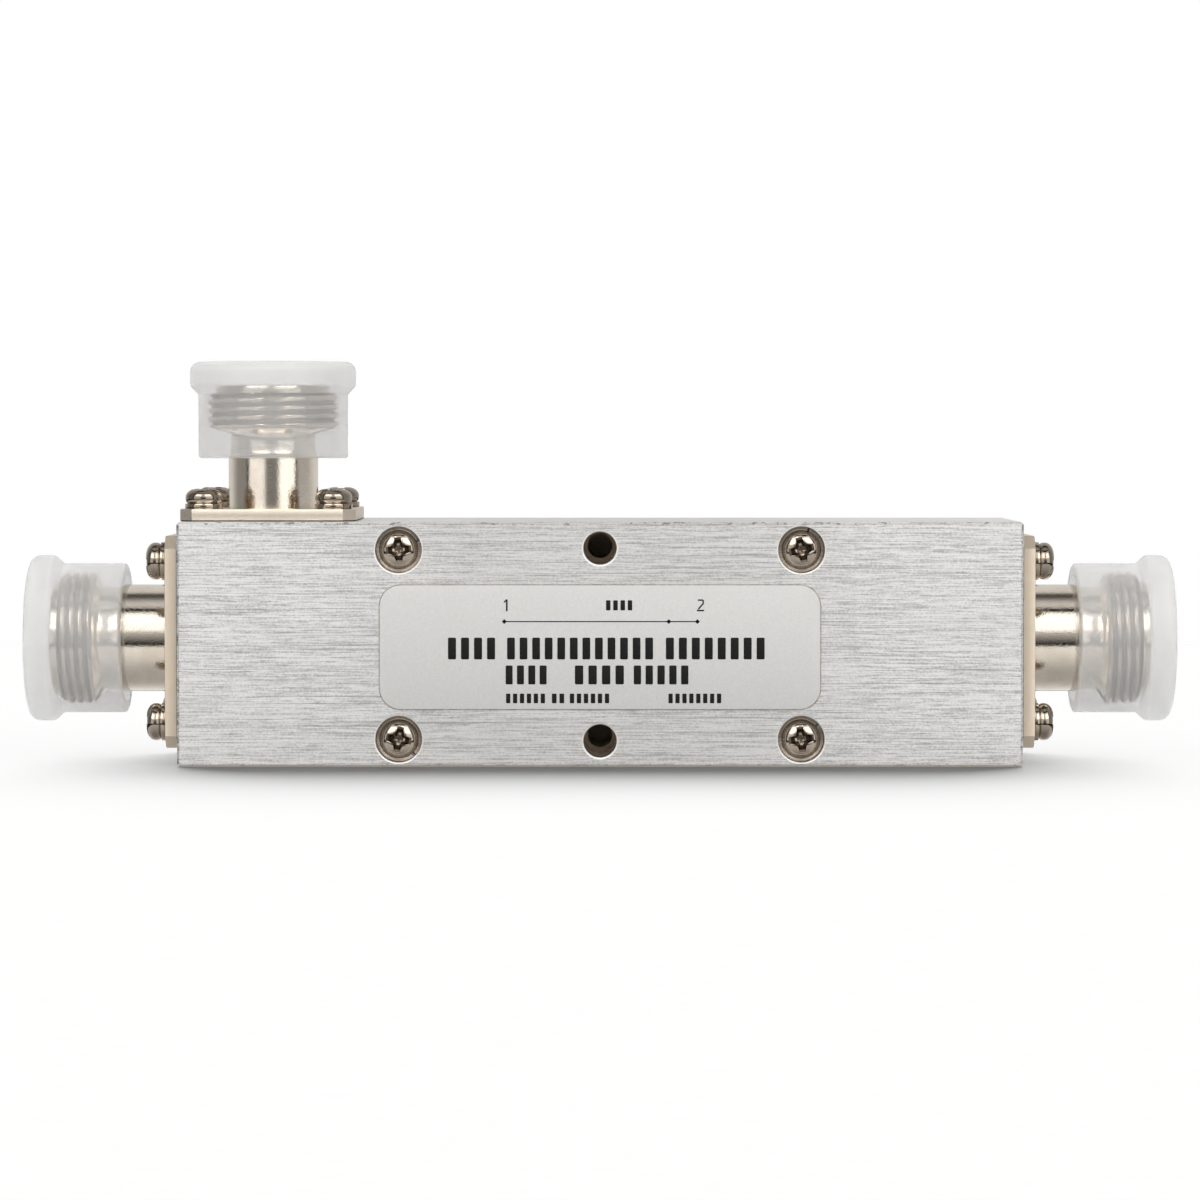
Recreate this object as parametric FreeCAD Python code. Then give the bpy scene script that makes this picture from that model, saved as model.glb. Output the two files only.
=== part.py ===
import FreeCAD, Part
import math
import os

# A coaxial directional coupler: a milled aluminium body with a screwed front lid, a through line
# between an input and an output connector, a coupled line that ends in a connector on top and in
# a load at the far end, and a push-on dust cap on each of the three connectors.
# All sizes are in millimetres. X runs along the body, the lid faces -Y, and Z is up.
# The origin is the middle of the body's bottom face.

# Body
body_length = 100.9
body_depth = 28.0
body_height = 29.2
edge_chamfer = 0.3
lid_thickness = 2.8

# Milled cavity behind the lid
rear_wall = 2.8
end_wall = 6.95
floor_wall = 7.4
top_wall = 7.4
cavity_corner_r = 2.0

# Seal in a groove around the cavity
seal_rim = 0.7
seal_groove_width = 1.2
seal_groove_depth = 0.8
seal_side_play = 0.1

# Lid screws, each on a spring washer in a counterbore
lid_screw_spacing = 48.0
lid_screw_edge = 3.3
lid_screw_d = 2.5
lid_screw_length = 8.0
lid_head_d = 4.7
lid_head_height = 1.6
lid_washer_d = 5.3
lid_washer_thickness = 0.4
counterbore_d = 5.6
counterbore_depth = 1.8

# Two blind mounting holes in the front, each with a narrower core for a thread
mount_hole_d = 4.0
mount_hole_depth = 11.0
mount_hole_edge = 3.1
mount_core_d = 3.0
mount_rear_wall = 4.0

# Broken edges at the mouths of the holes in the front
mount_hole_chamfer = 0.2
counterbore_chamfer = 0.15

# Label on the lid
label_width = 52.7
label_height = 15.0
label_corner_r = 2.6
label_thickness = 0.1
label_drop = 0.3

# Flange screws, each on a spring washer
flange_screw_d = 2.5
flange_head_d = 4.45
flange_head_height = 1.8
flange_washer_d = 4.55
flange_washer_thickness = 0.62

# Cross recess of every screw
recess_span = 2.95
recess_arm = 0.74
recess_depth = 1.15
recess_floor_span = 1.0

# Play around a screw in its clearance hole, at the bottom of its tapped hole and in its thread
screw_hole_play = 0.15
screw_end_play = 0.3
thread_play = 0.03

# Slit of a spring washer, and its slope
washer_slit = 0.35
washer_slit_angle = 25.0
washer_edge_r = 0.1

# Play of pressed and soldered fits
fit_play = 0.02

# Line connectors, at the two ends of the body
line_axis_rise = 0.2
line_flange_side = 25.4
line_flange_thickness = 1.55
line_flange_corner = 1.5
line_screw_spacing = 19.3
line_screw_length = 5.8
line_barrel_d = 13.0
line_barrel_end = 7.5
line_neck_d = 12.4
line_thread_start = 10.9
line_insulator_d = 10.2
line_contact_d = 3.04
line_wall_bore_d = 7.0
line_cap_seat = 7.3

# Tap connector, on top of the body near its left end
tap_margin = 0.05
tap_flange_side = 21.1
tap_flange_thickness = 1.5
tap_flange_corner = 1.5
tap_screw_spacing = 15.6
tap_screw_length = 4.9
tap_barrel_d = 10.9
tap_barrel_end = 7.7
tap_neck_d = 10.3
tap_thread_start = 11.2
tap_insulator_d = 8.4
tap_contact_d = 2.5
tap_wall_bore_d = 6.3
tap_cap_seat = 7.55

# Shared by all three connectors
flange_edge = 0.15
barrel_taper = 0.9
thread_d = 15.875
thread_pitch = 1.058
thread_depth = 0.65
thread_turns = 4
thread_back_slope = 0.7
pilot_d = 13.8
pilot_length = 0.97
pilot_chamfer = 0.3
socket_bore_d = 8.1
insulator_length = 7.0
contact_socket_d = 3.04
contact_socket_recess = 5.1
contact_bore_d = 1.68
contact_bore_depth = 4.0
contact_slot = 0.3
contact_slot_depth = 3.2
ring_section_d = 0.7
ring_offset = 1.0
ring_side_play = 0.1

# Dust cap
cap_length = 11.7
cap_body_d = 18.2
cap_rim_d = 20.2
cap_rim_length = 4.0
cap_rim_slope = 1.1
cap_bore_play = 0.06
cap_lip_d = 14.9
cap_lip_length = 1.2
cap_end_wall = 1.3
cap_mouth_r = 0.35
cap_rim_end_r = 1.2
cap_rim_back_r = 0.9
cap_inner_r = 0.5

# Strip lines in the cavity
line_end_gap = 1.5
line_width = 5.0
main_line_height = 4.4
line_gap = 1.4
coupled_line_height = 1.6
coupled_line_overhang = 2.4
contact_seat_depth = 3.5

# Insulating supports that carry both lines
support_count = 3
support_spacing = 25.0
support_shift = -1.0
support_thickness = 4.0
support_play = 0.05

# Load at the far end of the coupled line
load_end_gap = 3.5
load_line_gap = 0.5
load_flange_length = 6.0
load_flange_width = 13.0
load_flange_thickness = 1.2
load_chip_width = 5.2
load_chip_drop = 0.6
load_tab_width = 2.0
load_tab_thickness = 0.2
load_tab_overlap = 3.0
load_screw_spacing = 9.4
load_screw_d = 2.0
load_screw_length = 4.0
load_head_d = 3.4
load_head_height = 1.2
load_recess_scale = 0.7

# How far each cross recess is turned, in degrees
lid_screw_turns = [4.0, 13.0, -10.0, 7.0]
flange_screw_turns = [11.0, -8.0, 27.0, 3.0]
load_screw_turns = [18.0, -6.0]

# Places that follow from the sizes
body_half_length = body_length / 2
body_front = -body_depth / 2
body_rear = body_depth / 2
seam = body_front + lid_thickness
cavity_rear = body_rear - rear_wall
cavity_half_length = body_half_length - end_wall
cavity_top = body_height - top_wall
line_axis_height = body_height / 2 + line_axis_rise
label_centre_height = body_height / 2 - label_drop
tap_x = -body_half_length + tap_margin + tap_flange_side / 2
main_line_top = line_axis_height + main_line_height / 2
coupled_line_bottom = main_line_top + line_gap
coupled_line_top = coupled_line_bottom + coupled_line_height
main_line_half_length = cavity_half_length - line_end_gap
load_flange_right = cavity_half_length - load_end_gap
load_flange_left = load_flange_right - load_flange_length
load_flange_bottom = cavity_top - load_flange_thickness
coupled_line_left = tap_x - coupled_line_overhang
coupled_line_right = load_flange_left - load_line_gap

UP = FreeCAD.Vector(0, 0, 1)
FRONT = FreeCAD.Vector(0, -1, 0)
LEFT = FreeCAD.Vector(-1, 0, 0)
RIGHT = FreeCAD.Vector(1, 0, 0)


def box_between(low, high):
    """A box from its lowest to its highest corner."""
    size = [high[i] - low[i] for i in range(3)]
    return Part.makeBox(size[0], size[1], size[2], FreeCAD.Vector(*low))


def cylinder(radius, start, end):
    """A cylinder on a straight line between two points."""
    along = end - start
    return Part.makeCylinder(radius, along.Length, start, along)


def rounded_plate(length, height, corner_r, y_front, y_rear, centre_z):
    """An upright plate with its four corners rounded as seen from the front."""
    low = (-length / 2, y_front, centre_z - height / 2)
    high = (length / 2, y_rear, centre_z + height / 2)
    plate = box_between(low, high)
    corners = [edge for edge in plate.Edges if abs(edge.tangentAt(edge.FirstParameter).y) > 0.9]
    return plate.makeFillet(corner_r, corners)


def turned(profile):
    """A solid turned about Z. The profile lists radius, height and corner rounding."""
    points = [FreeCAD.Vector(radius, 0, height) for radius, height, rounding in profile]
    edges = []
    start_of = []
    end_of = []
    arcs = []
    for index, (radius, height, rounding) in enumerate(profile):
        corner = points[index]
        if rounding == 0:
            start_of.append(corner)
            end_of.append(corner)
            arcs.append(None)
            continue
        back = (points[index - 1] - corner).normalize()
        ahead = (points[(index + 1) % len(points)] - corner).normalize()
        half_angle = back.getAngle(ahead) / 2
        tangent = rounding / math.tan(half_angle)
        inward = (back + ahead).normalize()
        centre = corner + inward * (rounding / math.sin(half_angle))
        start_of.append(corner + back * tangent)
        end_of.append(corner + ahead * tangent)
        arcs.append(Part.Arc(start_of[-1], centre - inward * rounding, end_of[-1]).toShape())
    for index in range(len(points)):
        if arcs[index] is not None:
            edges.append(arcs[index])
        following = (index + 1) % len(points)
        edges.append(Part.makeLine(end_of[index], start_of[following]))
    face = Part.Face(Part.Wire(edges))
    return face.revolve(FreeCAD.Vector(0, 0, 0), UP, 360)


def placed(shape, position, direction, turn=0.0):
    """A copy of a shape built along Z, turned about Z, then laid along a direction."""
    copy = shape.copy()
    spin = FreeCAD.Rotation(UP, turn)
    aim = FreeCAD.Rotation(UP, direction)
    copy.Placement = FreeCAD.Placement(position, aim.multiply(spin))
    return copy


def cross_recess(head_height, scale):
    """The cutter of a cross recess whose four arms narrow towards its floor."""
    half_top = recess_span * scale / 2
    half_floor = recess_floor_span * scale / 2
    half_arm = recess_arm * scale / 2
    depth = recess_depth * scale
    slope = (half_top - half_floor) / depth
    over = head_height
    corners = [(-half_floor, head_height - depth), (half_floor, head_height - depth),
               (half_top + slope * over, head_height + over), (-half_top - slope * over, head_height + over)]
    points = [FreeCAD.Vector(x, -half_arm, z) for x, z in corners]
    arm = Part.Face(Part.makePolygon(points + points[:1])).extrude(FreeCAD.Vector(0, 2 * half_arm, 0))
    return arm.fuse(placed(arm, FreeCAD.Vector(0, 0, 0), UP, 90.0))


def pan_screw(shank_d, length, head_d, head_height, recess_scale=1.0):
    """A pan-head screw along Z: the head stands on z = 0 and the shank reaches down."""
    head_r = head_d / 2
    flank_x = head_r - 0.16 * head_r
    flank_z = 0.8 * head_height
    rise = head_height - flank_z
    dome_r = (flank_x ** 2 + rise ** 2) / (2 * rise)
    half = math.asin(flank_x / dome_r) / 2
    dome_mid = FreeCAD.Vector(dome_r * math.sin(half), 0, head_height - dome_r * (1 - math.cos(half)))
    axis_foot = FreeCAD.Vector(0, 0, 0)
    foot = FreeCAD.Vector(head_r - 0.12 * head_r, 0, 0)
    bulge = FreeCAD.Vector(head_r, 0, 0.4 * head_height)
    flank = FreeCAD.Vector(flank_x, 0, flank_z)
    apex = FreeCAD.Vector(0, 0, head_height)
    edges = [Part.makeLine(axis_foot, foot), Part.Arc(foot, bulge, flank).toShape(),
             Part.Arc(flank, dome_mid, apex).toShape(), Part.makeLine(apex, axis_foot)]
    head = Part.Face(Part.Wire(edges)).revolve(axis_foot, UP, 360)
    tip = 0.15 * shank_d
    shank = turned([(0, -length, 0), (shank_d / 2 - tip, -length, 0),
                    (shank_d / 2, -length + tip, 0), (shank_d / 2, 0, 0), (0, 0, 0)])
    return head.fuse(shank).cut(cross_recess(head_height, recess_scale)).removeSplitter()


def spring_washer(outer_d, hole_d, thickness):
    """A split ring on z = 0, with a sloping slit."""
    ring = turned([(hole_d / 2, 0, 0), (outer_d / 2, 0, washer_edge_r),
                   (outer_d / 2, thickness, washer_edge_r), (hole_d / 2, thickness, 0)])
    reach = outer_d
    corner = FreeCAD.Vector(0, -washer_slit / 2, -2 * thickness)
    slit = Part.makeBox(reach, washer_slit, 4 * thickness, corner)
    slit.rotate(FreeCAD.Vector(0, 0, 0), FreeCAD.Vector(1, 0, 0), washer_slit_angle)
    slit.translate(FreeCAD.Vector(0, 0, thickness / 2))
    return ring.cut(slit)


def body_block():
    """The whole outside of the body, before it is parted into housing and lid."""
    low = (-body_half_length, body_front, 0)
    high = (body_half_length, body_rear, body_height)
    block = box_between(low, high)
    return block.makeChamfer(edge_chamfer, block.Edges)


def body_slice(y_front, y_rear):
    """The stretch of the body between two depths."""
    low = (-body_length, y_front, -body_height)
    high = (body_length, y_rear, 2 * body_height)
    return body_block().common(box_between(low, high))


def lid_screw_places():
    """Where the four lid screws stand, on the front of the body."""
    half = lid_screw_spacing / 2
    heights = (body_height - lid_screw_edge, lid_screw_edge)
    return [(x, z) for z in heights for x in (-half, half)]


def mouth_cutter(radius, chamfer, x, z):
    """A cone that breaks the edge of a hole in the front of the body."""
    outside = FreeCAD.Vector(x, body_front - 1, z)
    return Part.makeCone(radius + chamfer + 1, radius, chamfer + 1, outside, -FRONT)


def mount_hole_cutters():
    """Cutters of the two stepped blind holes in the front of the body."""
    cutters = []
    for height in (mount_hole_edge, body_height - mount_hole_edge):
        start = FreeCAD.Vector(0, body_front - 1, height)
        step = FreeCAD.Vector(0, body_front + mount_hole_depth, height)
        end = FreeCAD.Vector(0, body_rear - mount_rear_wall, height)
        cutters.append(cylinder(mount_hole_d / 2, start, step))
        cutters.append(cylinder(mount_core_d / 2, start, end))
        cutters.append(mouth_cutter(mount_hole_d / 2, mount_hole_chamfer, 0, height))
    return cutters


class Connector:
    """One coaxial port. Its pieces are built along Z, with z = 0 on the body's face."""

    def __init__(self, name, position, direction, sizes):
        self.name = name
        self.position = position
        self.direction = direction
        (self.flange_side, self.flange_thickness, self.flange_corner, self.screw_spacing,
         self.screw_length, self.barrel_d, self.barrel_end, self.neck_d, self.thread_start,
         self.insulator_d, self.contact_d, self.wall_bore_d, self.cap_seat, self.contact_reach) = sizes
        self.thread_end = self.thread_start + thread_turns * thread_pitch
        self.shell_end = self.thread_end + pilot_length
        self.ring_r = self.barrel_d / 2 + ring_offset

    def lay(self, shape, x=0.0, y=0.0, z=0.0, turn=0.0):
        """Puts a shape built along Z at a place of this connector."""
        spun = placed(shape, FreeCAD.Vector(x, y, z), UP, turn)
        aim = FreeCAD.Placement(self.position, FreeCAD.Rotation(UP, self.direction))
        spun.Placement = aim.multiply(spun.Placement)
        return spun

    def screw_places(self):
        """The four screw centres on the flange."""
        half = self.screw_spacing / 2
        return [(x, y) for y in (-half, half) for x in (-half, half)]

    def flange_plate(self):
        """The square flange with cut corners."""
        half = self.flange_side / 2
        inner = half - self.flange_corner
        outline = [(-half, -inner), (-inner, -half), (inner, -half), (half, -inner),
                   (half, inner), (inner, half), (-inner, half), (-half, inner)]
        points = [FreeCAD.Vector(x, y, 0) for x, y in outline]
        plate = Part.Face(Part.makePolygon(points + points[:1])).extrude(UP * self.flange_thickness)
        return plate.makeChamfer(flange_edge, plate.Edges)

    def turned_shell(self):
        """Barrel, neck, thread and pilot, bored for the insulator and the mating plug."""
        neck_r = self.neck_d / 2
        crest_r = thread_d / 2
        root_r = crest_r - thread_depth
        pilot_r = pilot_d / 2
        bore_r = self.insulator_d / 2
        profile = [(bore_r, 0, 0), (self.barrel_d / 2, 0, 0),
                   (self.barrel_d / 2, self.barrel_end - barrel_taper, 0), (neck_r, self.barrel_end, 0),
                   (neck_r, self.thread_start - thread_back_slope, 0), (root_r, self.thread_start, 0)]
        crest_half = thread_pitch / 16
        for turn in range(thread_turns):
            middle = self.thread_start + (turn + 0.5) * thread_pitch
            profile.append((crest_r, middle - crest_half, 0))
            profile.append((crest_r, middle + crest_half, 0))
            profile.append((root_r, self.thread_start + (turn + 1) * thread_pitch, 0))
        profile.append((pilot_r, self.thread_end, 0))
        profile.append((pilot_r, self.shell_end - pilot_chamfer, 0))
        profile.append((pilot_r - pilot_chamfer, self.shell_end, 0))
        profile.append((socket_bore_d / 2 + pilot_chamfer, self.shell_end, 0))
        profile.append((socket_bore_d / 2, self.shell_end - pilot_chamfer, 0))
        profile.append((socket_bore_d / 2, insulator_length, 0))
        profile.append((bore_r, insulator_length, 0))
        return turned(profile)

    def shell(self):
        """The connector's one-piece outer conductor with its flange."""
        inside = Part.makeCylinder(self.insulator_d / 2, self.flange_thickness)
        shape = self.flange_plate().cut(inside).fuse(self.turned_shell())
        for x, y in self.screw_places():
            hole_r = flange_screw_d / 2 + screw_hole_play
            hole = Part.makeCylinder(hole_r, 3 * self.flange_thickness, FreeCAD.Vector(x, y, -1))
            shape = shape.cut(hole)
        groove_half = ring_section_d / 2 + ring_side_play
        groove = turned([(self.ring_r - groove_half, 0, 0), (self.ring_r + groove_half, 0, 0),
                         (self.ring_r + groove_half, ring_section_d, 0),
                         (self.ring_r - groove_half, ring_section_d, 0)])
        return self.lay(shape.cut(groove).removeSplitter())

    def seal(self):
        """The rubber ring in the groove under the flange."""
        ring = Part.makeTorus(self.ring_r, ring_section_d / 2)
        return self.lay(ring, z=ring_section_d / 2)

    def insulator(self):
        """The plain insulating bush around the centre contact."""
        outer_r = self.insulator_d / 2 - fit_play
        inner_r = self.contact_d / 2 + fit_play
        bush = turned([(inner_r, 0, 0), (outer_r, 0, 0), (outer_r, insulator_length, 0),
                       (inner_r, insulator_length, 0)])
        return self.lay(bush)

    def contact(self):
        """The centre contact: a pin at the body's end, a slotted socket at the open end."""
        pin_r = self.contact_d / 2
        socket_r = contact_socket_d / 2
        bore_r = contact_bore_d / 2
        tip = self.shell_end - contact_socket_recess
        bore_floor = tip - contact_bore_depth
        profile = [(0, -self.contact_reach, 0), (pin_r, -self.contact_reach, 0)]
        if socket_r > pin_r:
            profile += [(pin_r, insulator_length, 0)]
            profile += [(socket_r, insulator_length, 0)]
        profile += [(socket_r, tip, 0), (bore_r, tip, 0), (bore_r, bore_floor, 0), (0, bore_floor, 0)]
        shape = turned(profile)
        for turn in (0.0, 90.0):
            low = FreeCAD.Vector(-thread_d, -contact_slot / 2, tip - contact_slot_depth)
            slot = Part.makeBox(2 * thread_d, contact_slot, contact_slot_depth + 1, low)
            shape = shape.cut(placed(slot, FreeCAD.Vector(0, 0, 0), UP, turn))
        return self.lay(shape)

    def screws(self):
        """The four flange screws."""
        screw = pan_screw(flange_screw_d, self.screw_length, flange_head_d, flange_head_height)
        seat = self.flange_thickness + flange_washer_thickness
        laid = []
        for (x, y), turn in zip(self.screw_places(), flange_screw_turns):
            laid.append(self.lay(screw, x, y, seat, turn))
        return Part.makeCompound(laid)

    def washers(self):
        """The four spring washers under the flange screws."""
        hole_d = flange_screw_d + 2 * screw_hole_play
        washer = spring_washer(flange_washer_d, hole_d, flange_washer_thickness)
        laid = []
        for (x, y), turn in zip(self.screw_places(), flange_screw_turns):
            laid.append(self.lay(washer, x, y, self.flange_thickness, 3 * turn))
        return Part.makeCompound(laid)

    def cap(self):
        """The push-on dust cap, a cup with a rounded grip rim at its closed end."""
        end = self.cap_seat + cap_length
        rim_start = end - cap_rim_length
        bore_r = thread_d / 2 + cap_bore_play
        lip_r = cap_lip_d / 2
        lip_top = self.cap_seat + cap_lip_length
        ceiling = end - cap_end_wall
        return self.lay(turned([
            (lip_r, self.cap_seat, 0), (cap_body_d / 2, self.cap_seat, cap_mouth_r),
            (cap_body_d / 2, rim_start, cap_inner_r),
            (cap_rim_d / 2, rim_start + cap_rim_slope, cap_rim_back_r),
            (cap_rim_d / 2, end, cap_rim_end_r), (0, end, 0), (0, ceiling, 0),
            (bore_r, ceiling, cap_inner_r), (bore_r, lip_top, 0), (lip_r, lip_top, 0)]))

    def body_cutters(self):
        """What this connector needs cut out of the body: a bore for its contact and four tapped holes."""
        bore = Part.makeCylinder(self.wall_bore_d / 2, self.wall_depth(), UP * -self.wall_depth())
        cutters = [self.lay(bore)]
        seat = self.flange_thickness + flange_washer_thickness
        depth = self.screw_length - seat + screw_end_play
        for x, y in self.screw_places():
            foot = FreeCAD.Vector(x, y, -depth)
            cutters.append(self.lay(Part.makeCylinder(flange_screw_d / 2 + thread_play, depth + 1, foot)))
        return cutters

    def wall_depth(self):
        """How far the contact's bore goes in, a little past the cavity's wall."""
        wall = top_wall if self.direction.z > 0 else end_wall
        return wall + cavity_corner_r / 2


def line_connector(name, direction):
    """A connector at one end of the body."""
    reach = end_wall + line_end_gap + contact_seat_depth - fit_play
    sizes = (line_flange_side, line_flange_thickness, line_flange_corner, line_screw_spacing,
             line_screw_length, line_barrel_d, line_barrel_end, line_neck_d, line_thread_start,
             line_insulator_d, line_contact_d, line_wall_bore_d, line_cap_seat, reach)
    position = FreeCAD.Vector(body_half_length * direction.x, 0, line_axis_height)
    return Connector(name, position, direction, sizes)


def tap_connector(name):
    """The connector on top of the body."""
    reach = body_height - coupled_line_bottom
    sizes = (tap_flange_side, tap_flange_thickness, tap_flange_corner, tap_screw_spacing,
             tap_screw_length, tap_barrel_d, tap_barrel_end, tap_neck_d, tap_thread_start,
             tap_insulator_d, tap_contact_d, tap_wall_bore_d, tap_cap_seat, reach)
    return Connector(name, FreeCAD.Vector(tap_x, 0, body_height), UP, sizes)


def cavity_plate(margin, y_front, y_rear):
    """A plate with the cavity's outline, grown by a margin."""
    length = 2 * (cavity_half_length + margin)
    height = cavity_top - floor_wall + 2 * margin
    centre = (cavity_top + floor_wall) / 2
    return rounded_plate(length, height, cavity_corner_r + margin, y_front, y_rear, centre)


def seal_ring(inner_margin, outer_margin):
    """A flat frame around the cavity, as deep as the seal's groove."""
    outer = cavity_plate(outer_margin, seam, seam + seal_groove_depth)
    return outer.cut(cavity_plate(inner_margin, seam, seam + seal_groove_depth))


def housing(connectors):
    """The milled block behind the lid."""
    shape = body_slice(seam, 2 * body_rear).cut(cavity_plate(0, seam, cavity_rear))
    shape = shape.cut(seal_ring(seal_rim, seal_rim + seal_groove_width))
    cutters = mount_hole_cutters()
    for connector in connectors:
        cutters += connector.body_cutters()
    tapped_r = lid_screw_d / 2 + thread_play
    tapped_end = screw_seat() + lid_screw_length + screw_end_play
    for x, z in lid_screw_places():
        cutters.append(cylinder(tapped_r, FreeCAD.Vector(x, seam, z), FreeCAD.Vector(x, tapped_end, z)))
    for y in (-load_screw_spacing / 2, load_screw_spacing / 2):
        start = FreeCAD.Vector(load_centre_x(), y, load_flange_bottom)
        end = FreeCAD.Vector(load_centre_x(), y, load_flange_bottom + load_screw_length + screw_end_play)
        cutters.append(cylinder(load_screw_d / 2 + thread_play, start, end))
    return shape.cut(cutters)


def screw_seat():
    """Where the underside of a lid screw's head lies in depth."""
    return body_front + counterbore_depth - lid_washer_thickness


def lid(connectors):
    """The front plate, with counterbores for its four screws."""
    shape = body_slice(2 * body_front, seam)
    cutters = mount_hole_cutters()
    for connector in connectors:
        cutters += connector.body_cutters()
    for x, z in lid_screw_places():
        outside = FreeCAD.Vector(x, body_front - 1, z)
        floor = FreeCAD.Vector(x, body_front + counterbore_depth, z)
        cutters.append(cylinder(counterbore_d / 2, outside, floor))
        cutters.append(mouth_cutter(counterbore_d / 2, counterbore_chamfer, x, z))
        through = FreeCAD.Vector(x, seam + 1, z)
        cutters.append(cylinder(lid_screw_d / 2 + screw_hole_play, outside, through))
    return shape.cut(cutters)


def lid_seal():
    """The conductive rubber cord between housing and lid."""
    inner = seal_rim + seal_side_play
    return seal_ring(inner, seal_rim + seal_groove_width - seal_side_play)


def lid_screws():
    """The four screws that hold the lid."""
    screw = pan_screw(lid_screw_d, lid_screw_length, lid_head_d, lid_head_height)
    laid = []
    for (x, z), turn in zip(lid_screw_places(), lid_screw_turns):
        laid.append(placed(screw, FreeCAD.Vector(x, screw_seat(), z), FRONT, turn))
    return Part.makeCompound(laid)


def lid_washers():
    """The spring washers in the lid's counterbores."""
    washer = spring_washer(lid_washer_d, lid_screw_d + 2 * screw_hole_play, lid_washer_thickness)
    floor = body_front + counterbore_depth
    laid = []
    for (x, z), turn in zip(lid_screw_places(), lid_screw_turns):
        laid.append(placed(washer, FreeCAD.Vector(x, floor, z), FRONT, 5 * turn))
    return Part.makeCompound(laid)


def label():
    """The foil label in the middle of the lid."""
    return rounded_plate(label_width, label_height, label_corner_r,
                         body_front - label_thickness, body_front, label_centre_height)


def main_line():
    """The bar between the input's and the output's contact, bored at both ends."""
    low = (-main_line_half_length, -line_width / 2, line_axis_height - main_line_height / 2)
    high = (main_line_half_length, line_width / 2, main_line_top)
    shape = box_between(low, high)
    for side in (-1, 1):
        mouth = FreeCAD.Vector(side * (main_line_half_length + 1), 0, line_axis_height)
        floor = FreeCAD.Vector(side * (main_line_half_length - contact_seat_depth), 0, line_axis_height)
        shape = shape.cut(cylinder(line_contact_d / 2 + fit_play, mouth, floor))
    return shape


def coupled_line():
    """The flat bar above the main line, with a hole for the tap's contact."""
    low = (coupled_line_left, -line_width / 2, coupled_line_bottom)
    high = (coupled_line_right, line_width / 2, coupled_line_top)
    below = FreeCAD.Vector(tap_x, 0, coupled_line_bottom - 1)
    above = FreeCAD.Vector(tap_x, 0, coupled_line_top + 1)
    return box_between(low, high).cut(cylinder(tap_contact_d / 2 + fit_play, below, above))


def line_supports():
    """Insulating blocks that fill the cavity's section and hold both lines in windows."""
    half_window = line_width / 2 + support_play
    laid = []
    for index in range(support_count):
        middle = support_shift + (index - (support_count - 1) / 2) * support_spacing
        left = middle - support_thickness / 2
        right = middle + support_thickness / 2
        block = box_between((left, seam + support_play, floor_wall + support_play),
                            (right, cavity_rear - support_play, cavity_top - support_play))
        for bottom, top in ((line_axis_height - main_line_height / 2, main_line_top),
                            (coupled_line_bottom, coupled_line_top)):
            block = block.cut(box_between((left - 1, -half_window, bottom - support_play),
                                          (right + 1, half_window, top + support_play)))
        laid.append(block)
    return Part.makeCompound(laid)


def load_centre_x():
    """The middle of the load along the body."""
    return (load_flange_left + load_flange_right) / 2


def load_flange():
    """The metal plate that carries the load under the cavity's top wall."""
    low = (load_flange_left, -load_flange_width / 2, load_flange_bottom)
    high = (load_flange_right, load_flange_width / 2, cavity_top)
    shape = box_between(low, high)
    for y in (-load_screw_spacing / 2, load_screw_spacing / 2):
        start = FreeCAD.Vector(load_centre_x(), y, load_flange_bottom - 1)
        end = FreeCAD.Vector(load_centre_x(), y, cavity_top + 1)
        shape = shape.cut(cylinder(load_screw_d / 2 + screw_hole_play, start, end))
    return shape


def load_resistor():
    """The ceramic load with its tab, which lies on the end of the coupled line."""
    chip = box_between((load_flange_left, -load_chip_width / 2, coupled_line_top - load_chip_drop),
                       (load_flange_right, load_chip_width / 2, load_flange_bottom))
    tab_left = coupled_line_right - load_tab_overlap
    tab = box_between((tab_left, -load_tab_width / 2, coupled_line_top),
                      (load_flange_left, load_tab_width / 2, coupled_line_top + load_tab_thickness))
    return chip.fuse(tab).removeSplitter()


def load_screws():
    """The two screws that hold the load's flange."""
    screw = pan_screw(load_screw_d, load_screw_length, load_head_d, load_head_height, load_recess_scale)
    laid = []
    for y, turn in zip((-load_screw_spacing / 2, load_screw_spacing / 2), load_screw_turns):
        laid.append(placed(screw, FreeCAD.Vector(load_centre_x(), y, load_flange_bottom), -UP, turn))
    return Part.makeCompound(laid)


def connector_nodes(connector):
    """Every piece of one connector, by node name."""
    return {
        connector.name + "_connector_shell": connector.shell(),
        connector.name + "_insulator": connector.insulator(),
        connector.name + "_centre_contact": connector.contact(),
        connector.name + "_flange_seal": connector.seal(),
        connector.name + "_flange_screws": connector.screws(),
        connector.name + "_flange_washers": connector.washers(),
        connector.name + "_dust_cap": connector.cap(),
    }


def build():
    """All nodes of the coupler, by name."""
    connectors = [line_connector("input", LEFT), line_connector("output", RIGHT), tap_connector("coupled")]
    nodes = {
        "housing": housing(connectors),
        "lid": lid(connectors),
        "lid_seal": lid_seal(),
        "lid_screws": lid_screws(),
        "lid_washers": lid_washers(),
        "label": label(),
        "main_line": main_line(),
        "coupled_line": coupled_line(),
        "line_supports": line_supports(),
        "load_flange": load_flange(),
        "load_resistor": load_resistor(),
        "load_screws": load_screws(),
    }
    for connector in connectors:
        nodes.update(connector_nodes(connector))
    return nodes


os.makedirs("parts", exist_ok=True)
for node_name, node_shape in build().items():
    node_shape.exportStep("parts/" + node_name + ".step")
    print(node_name, len(node_shape.Solids), round(node_shape.Volume, 2), node_shape.isValid())
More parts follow.
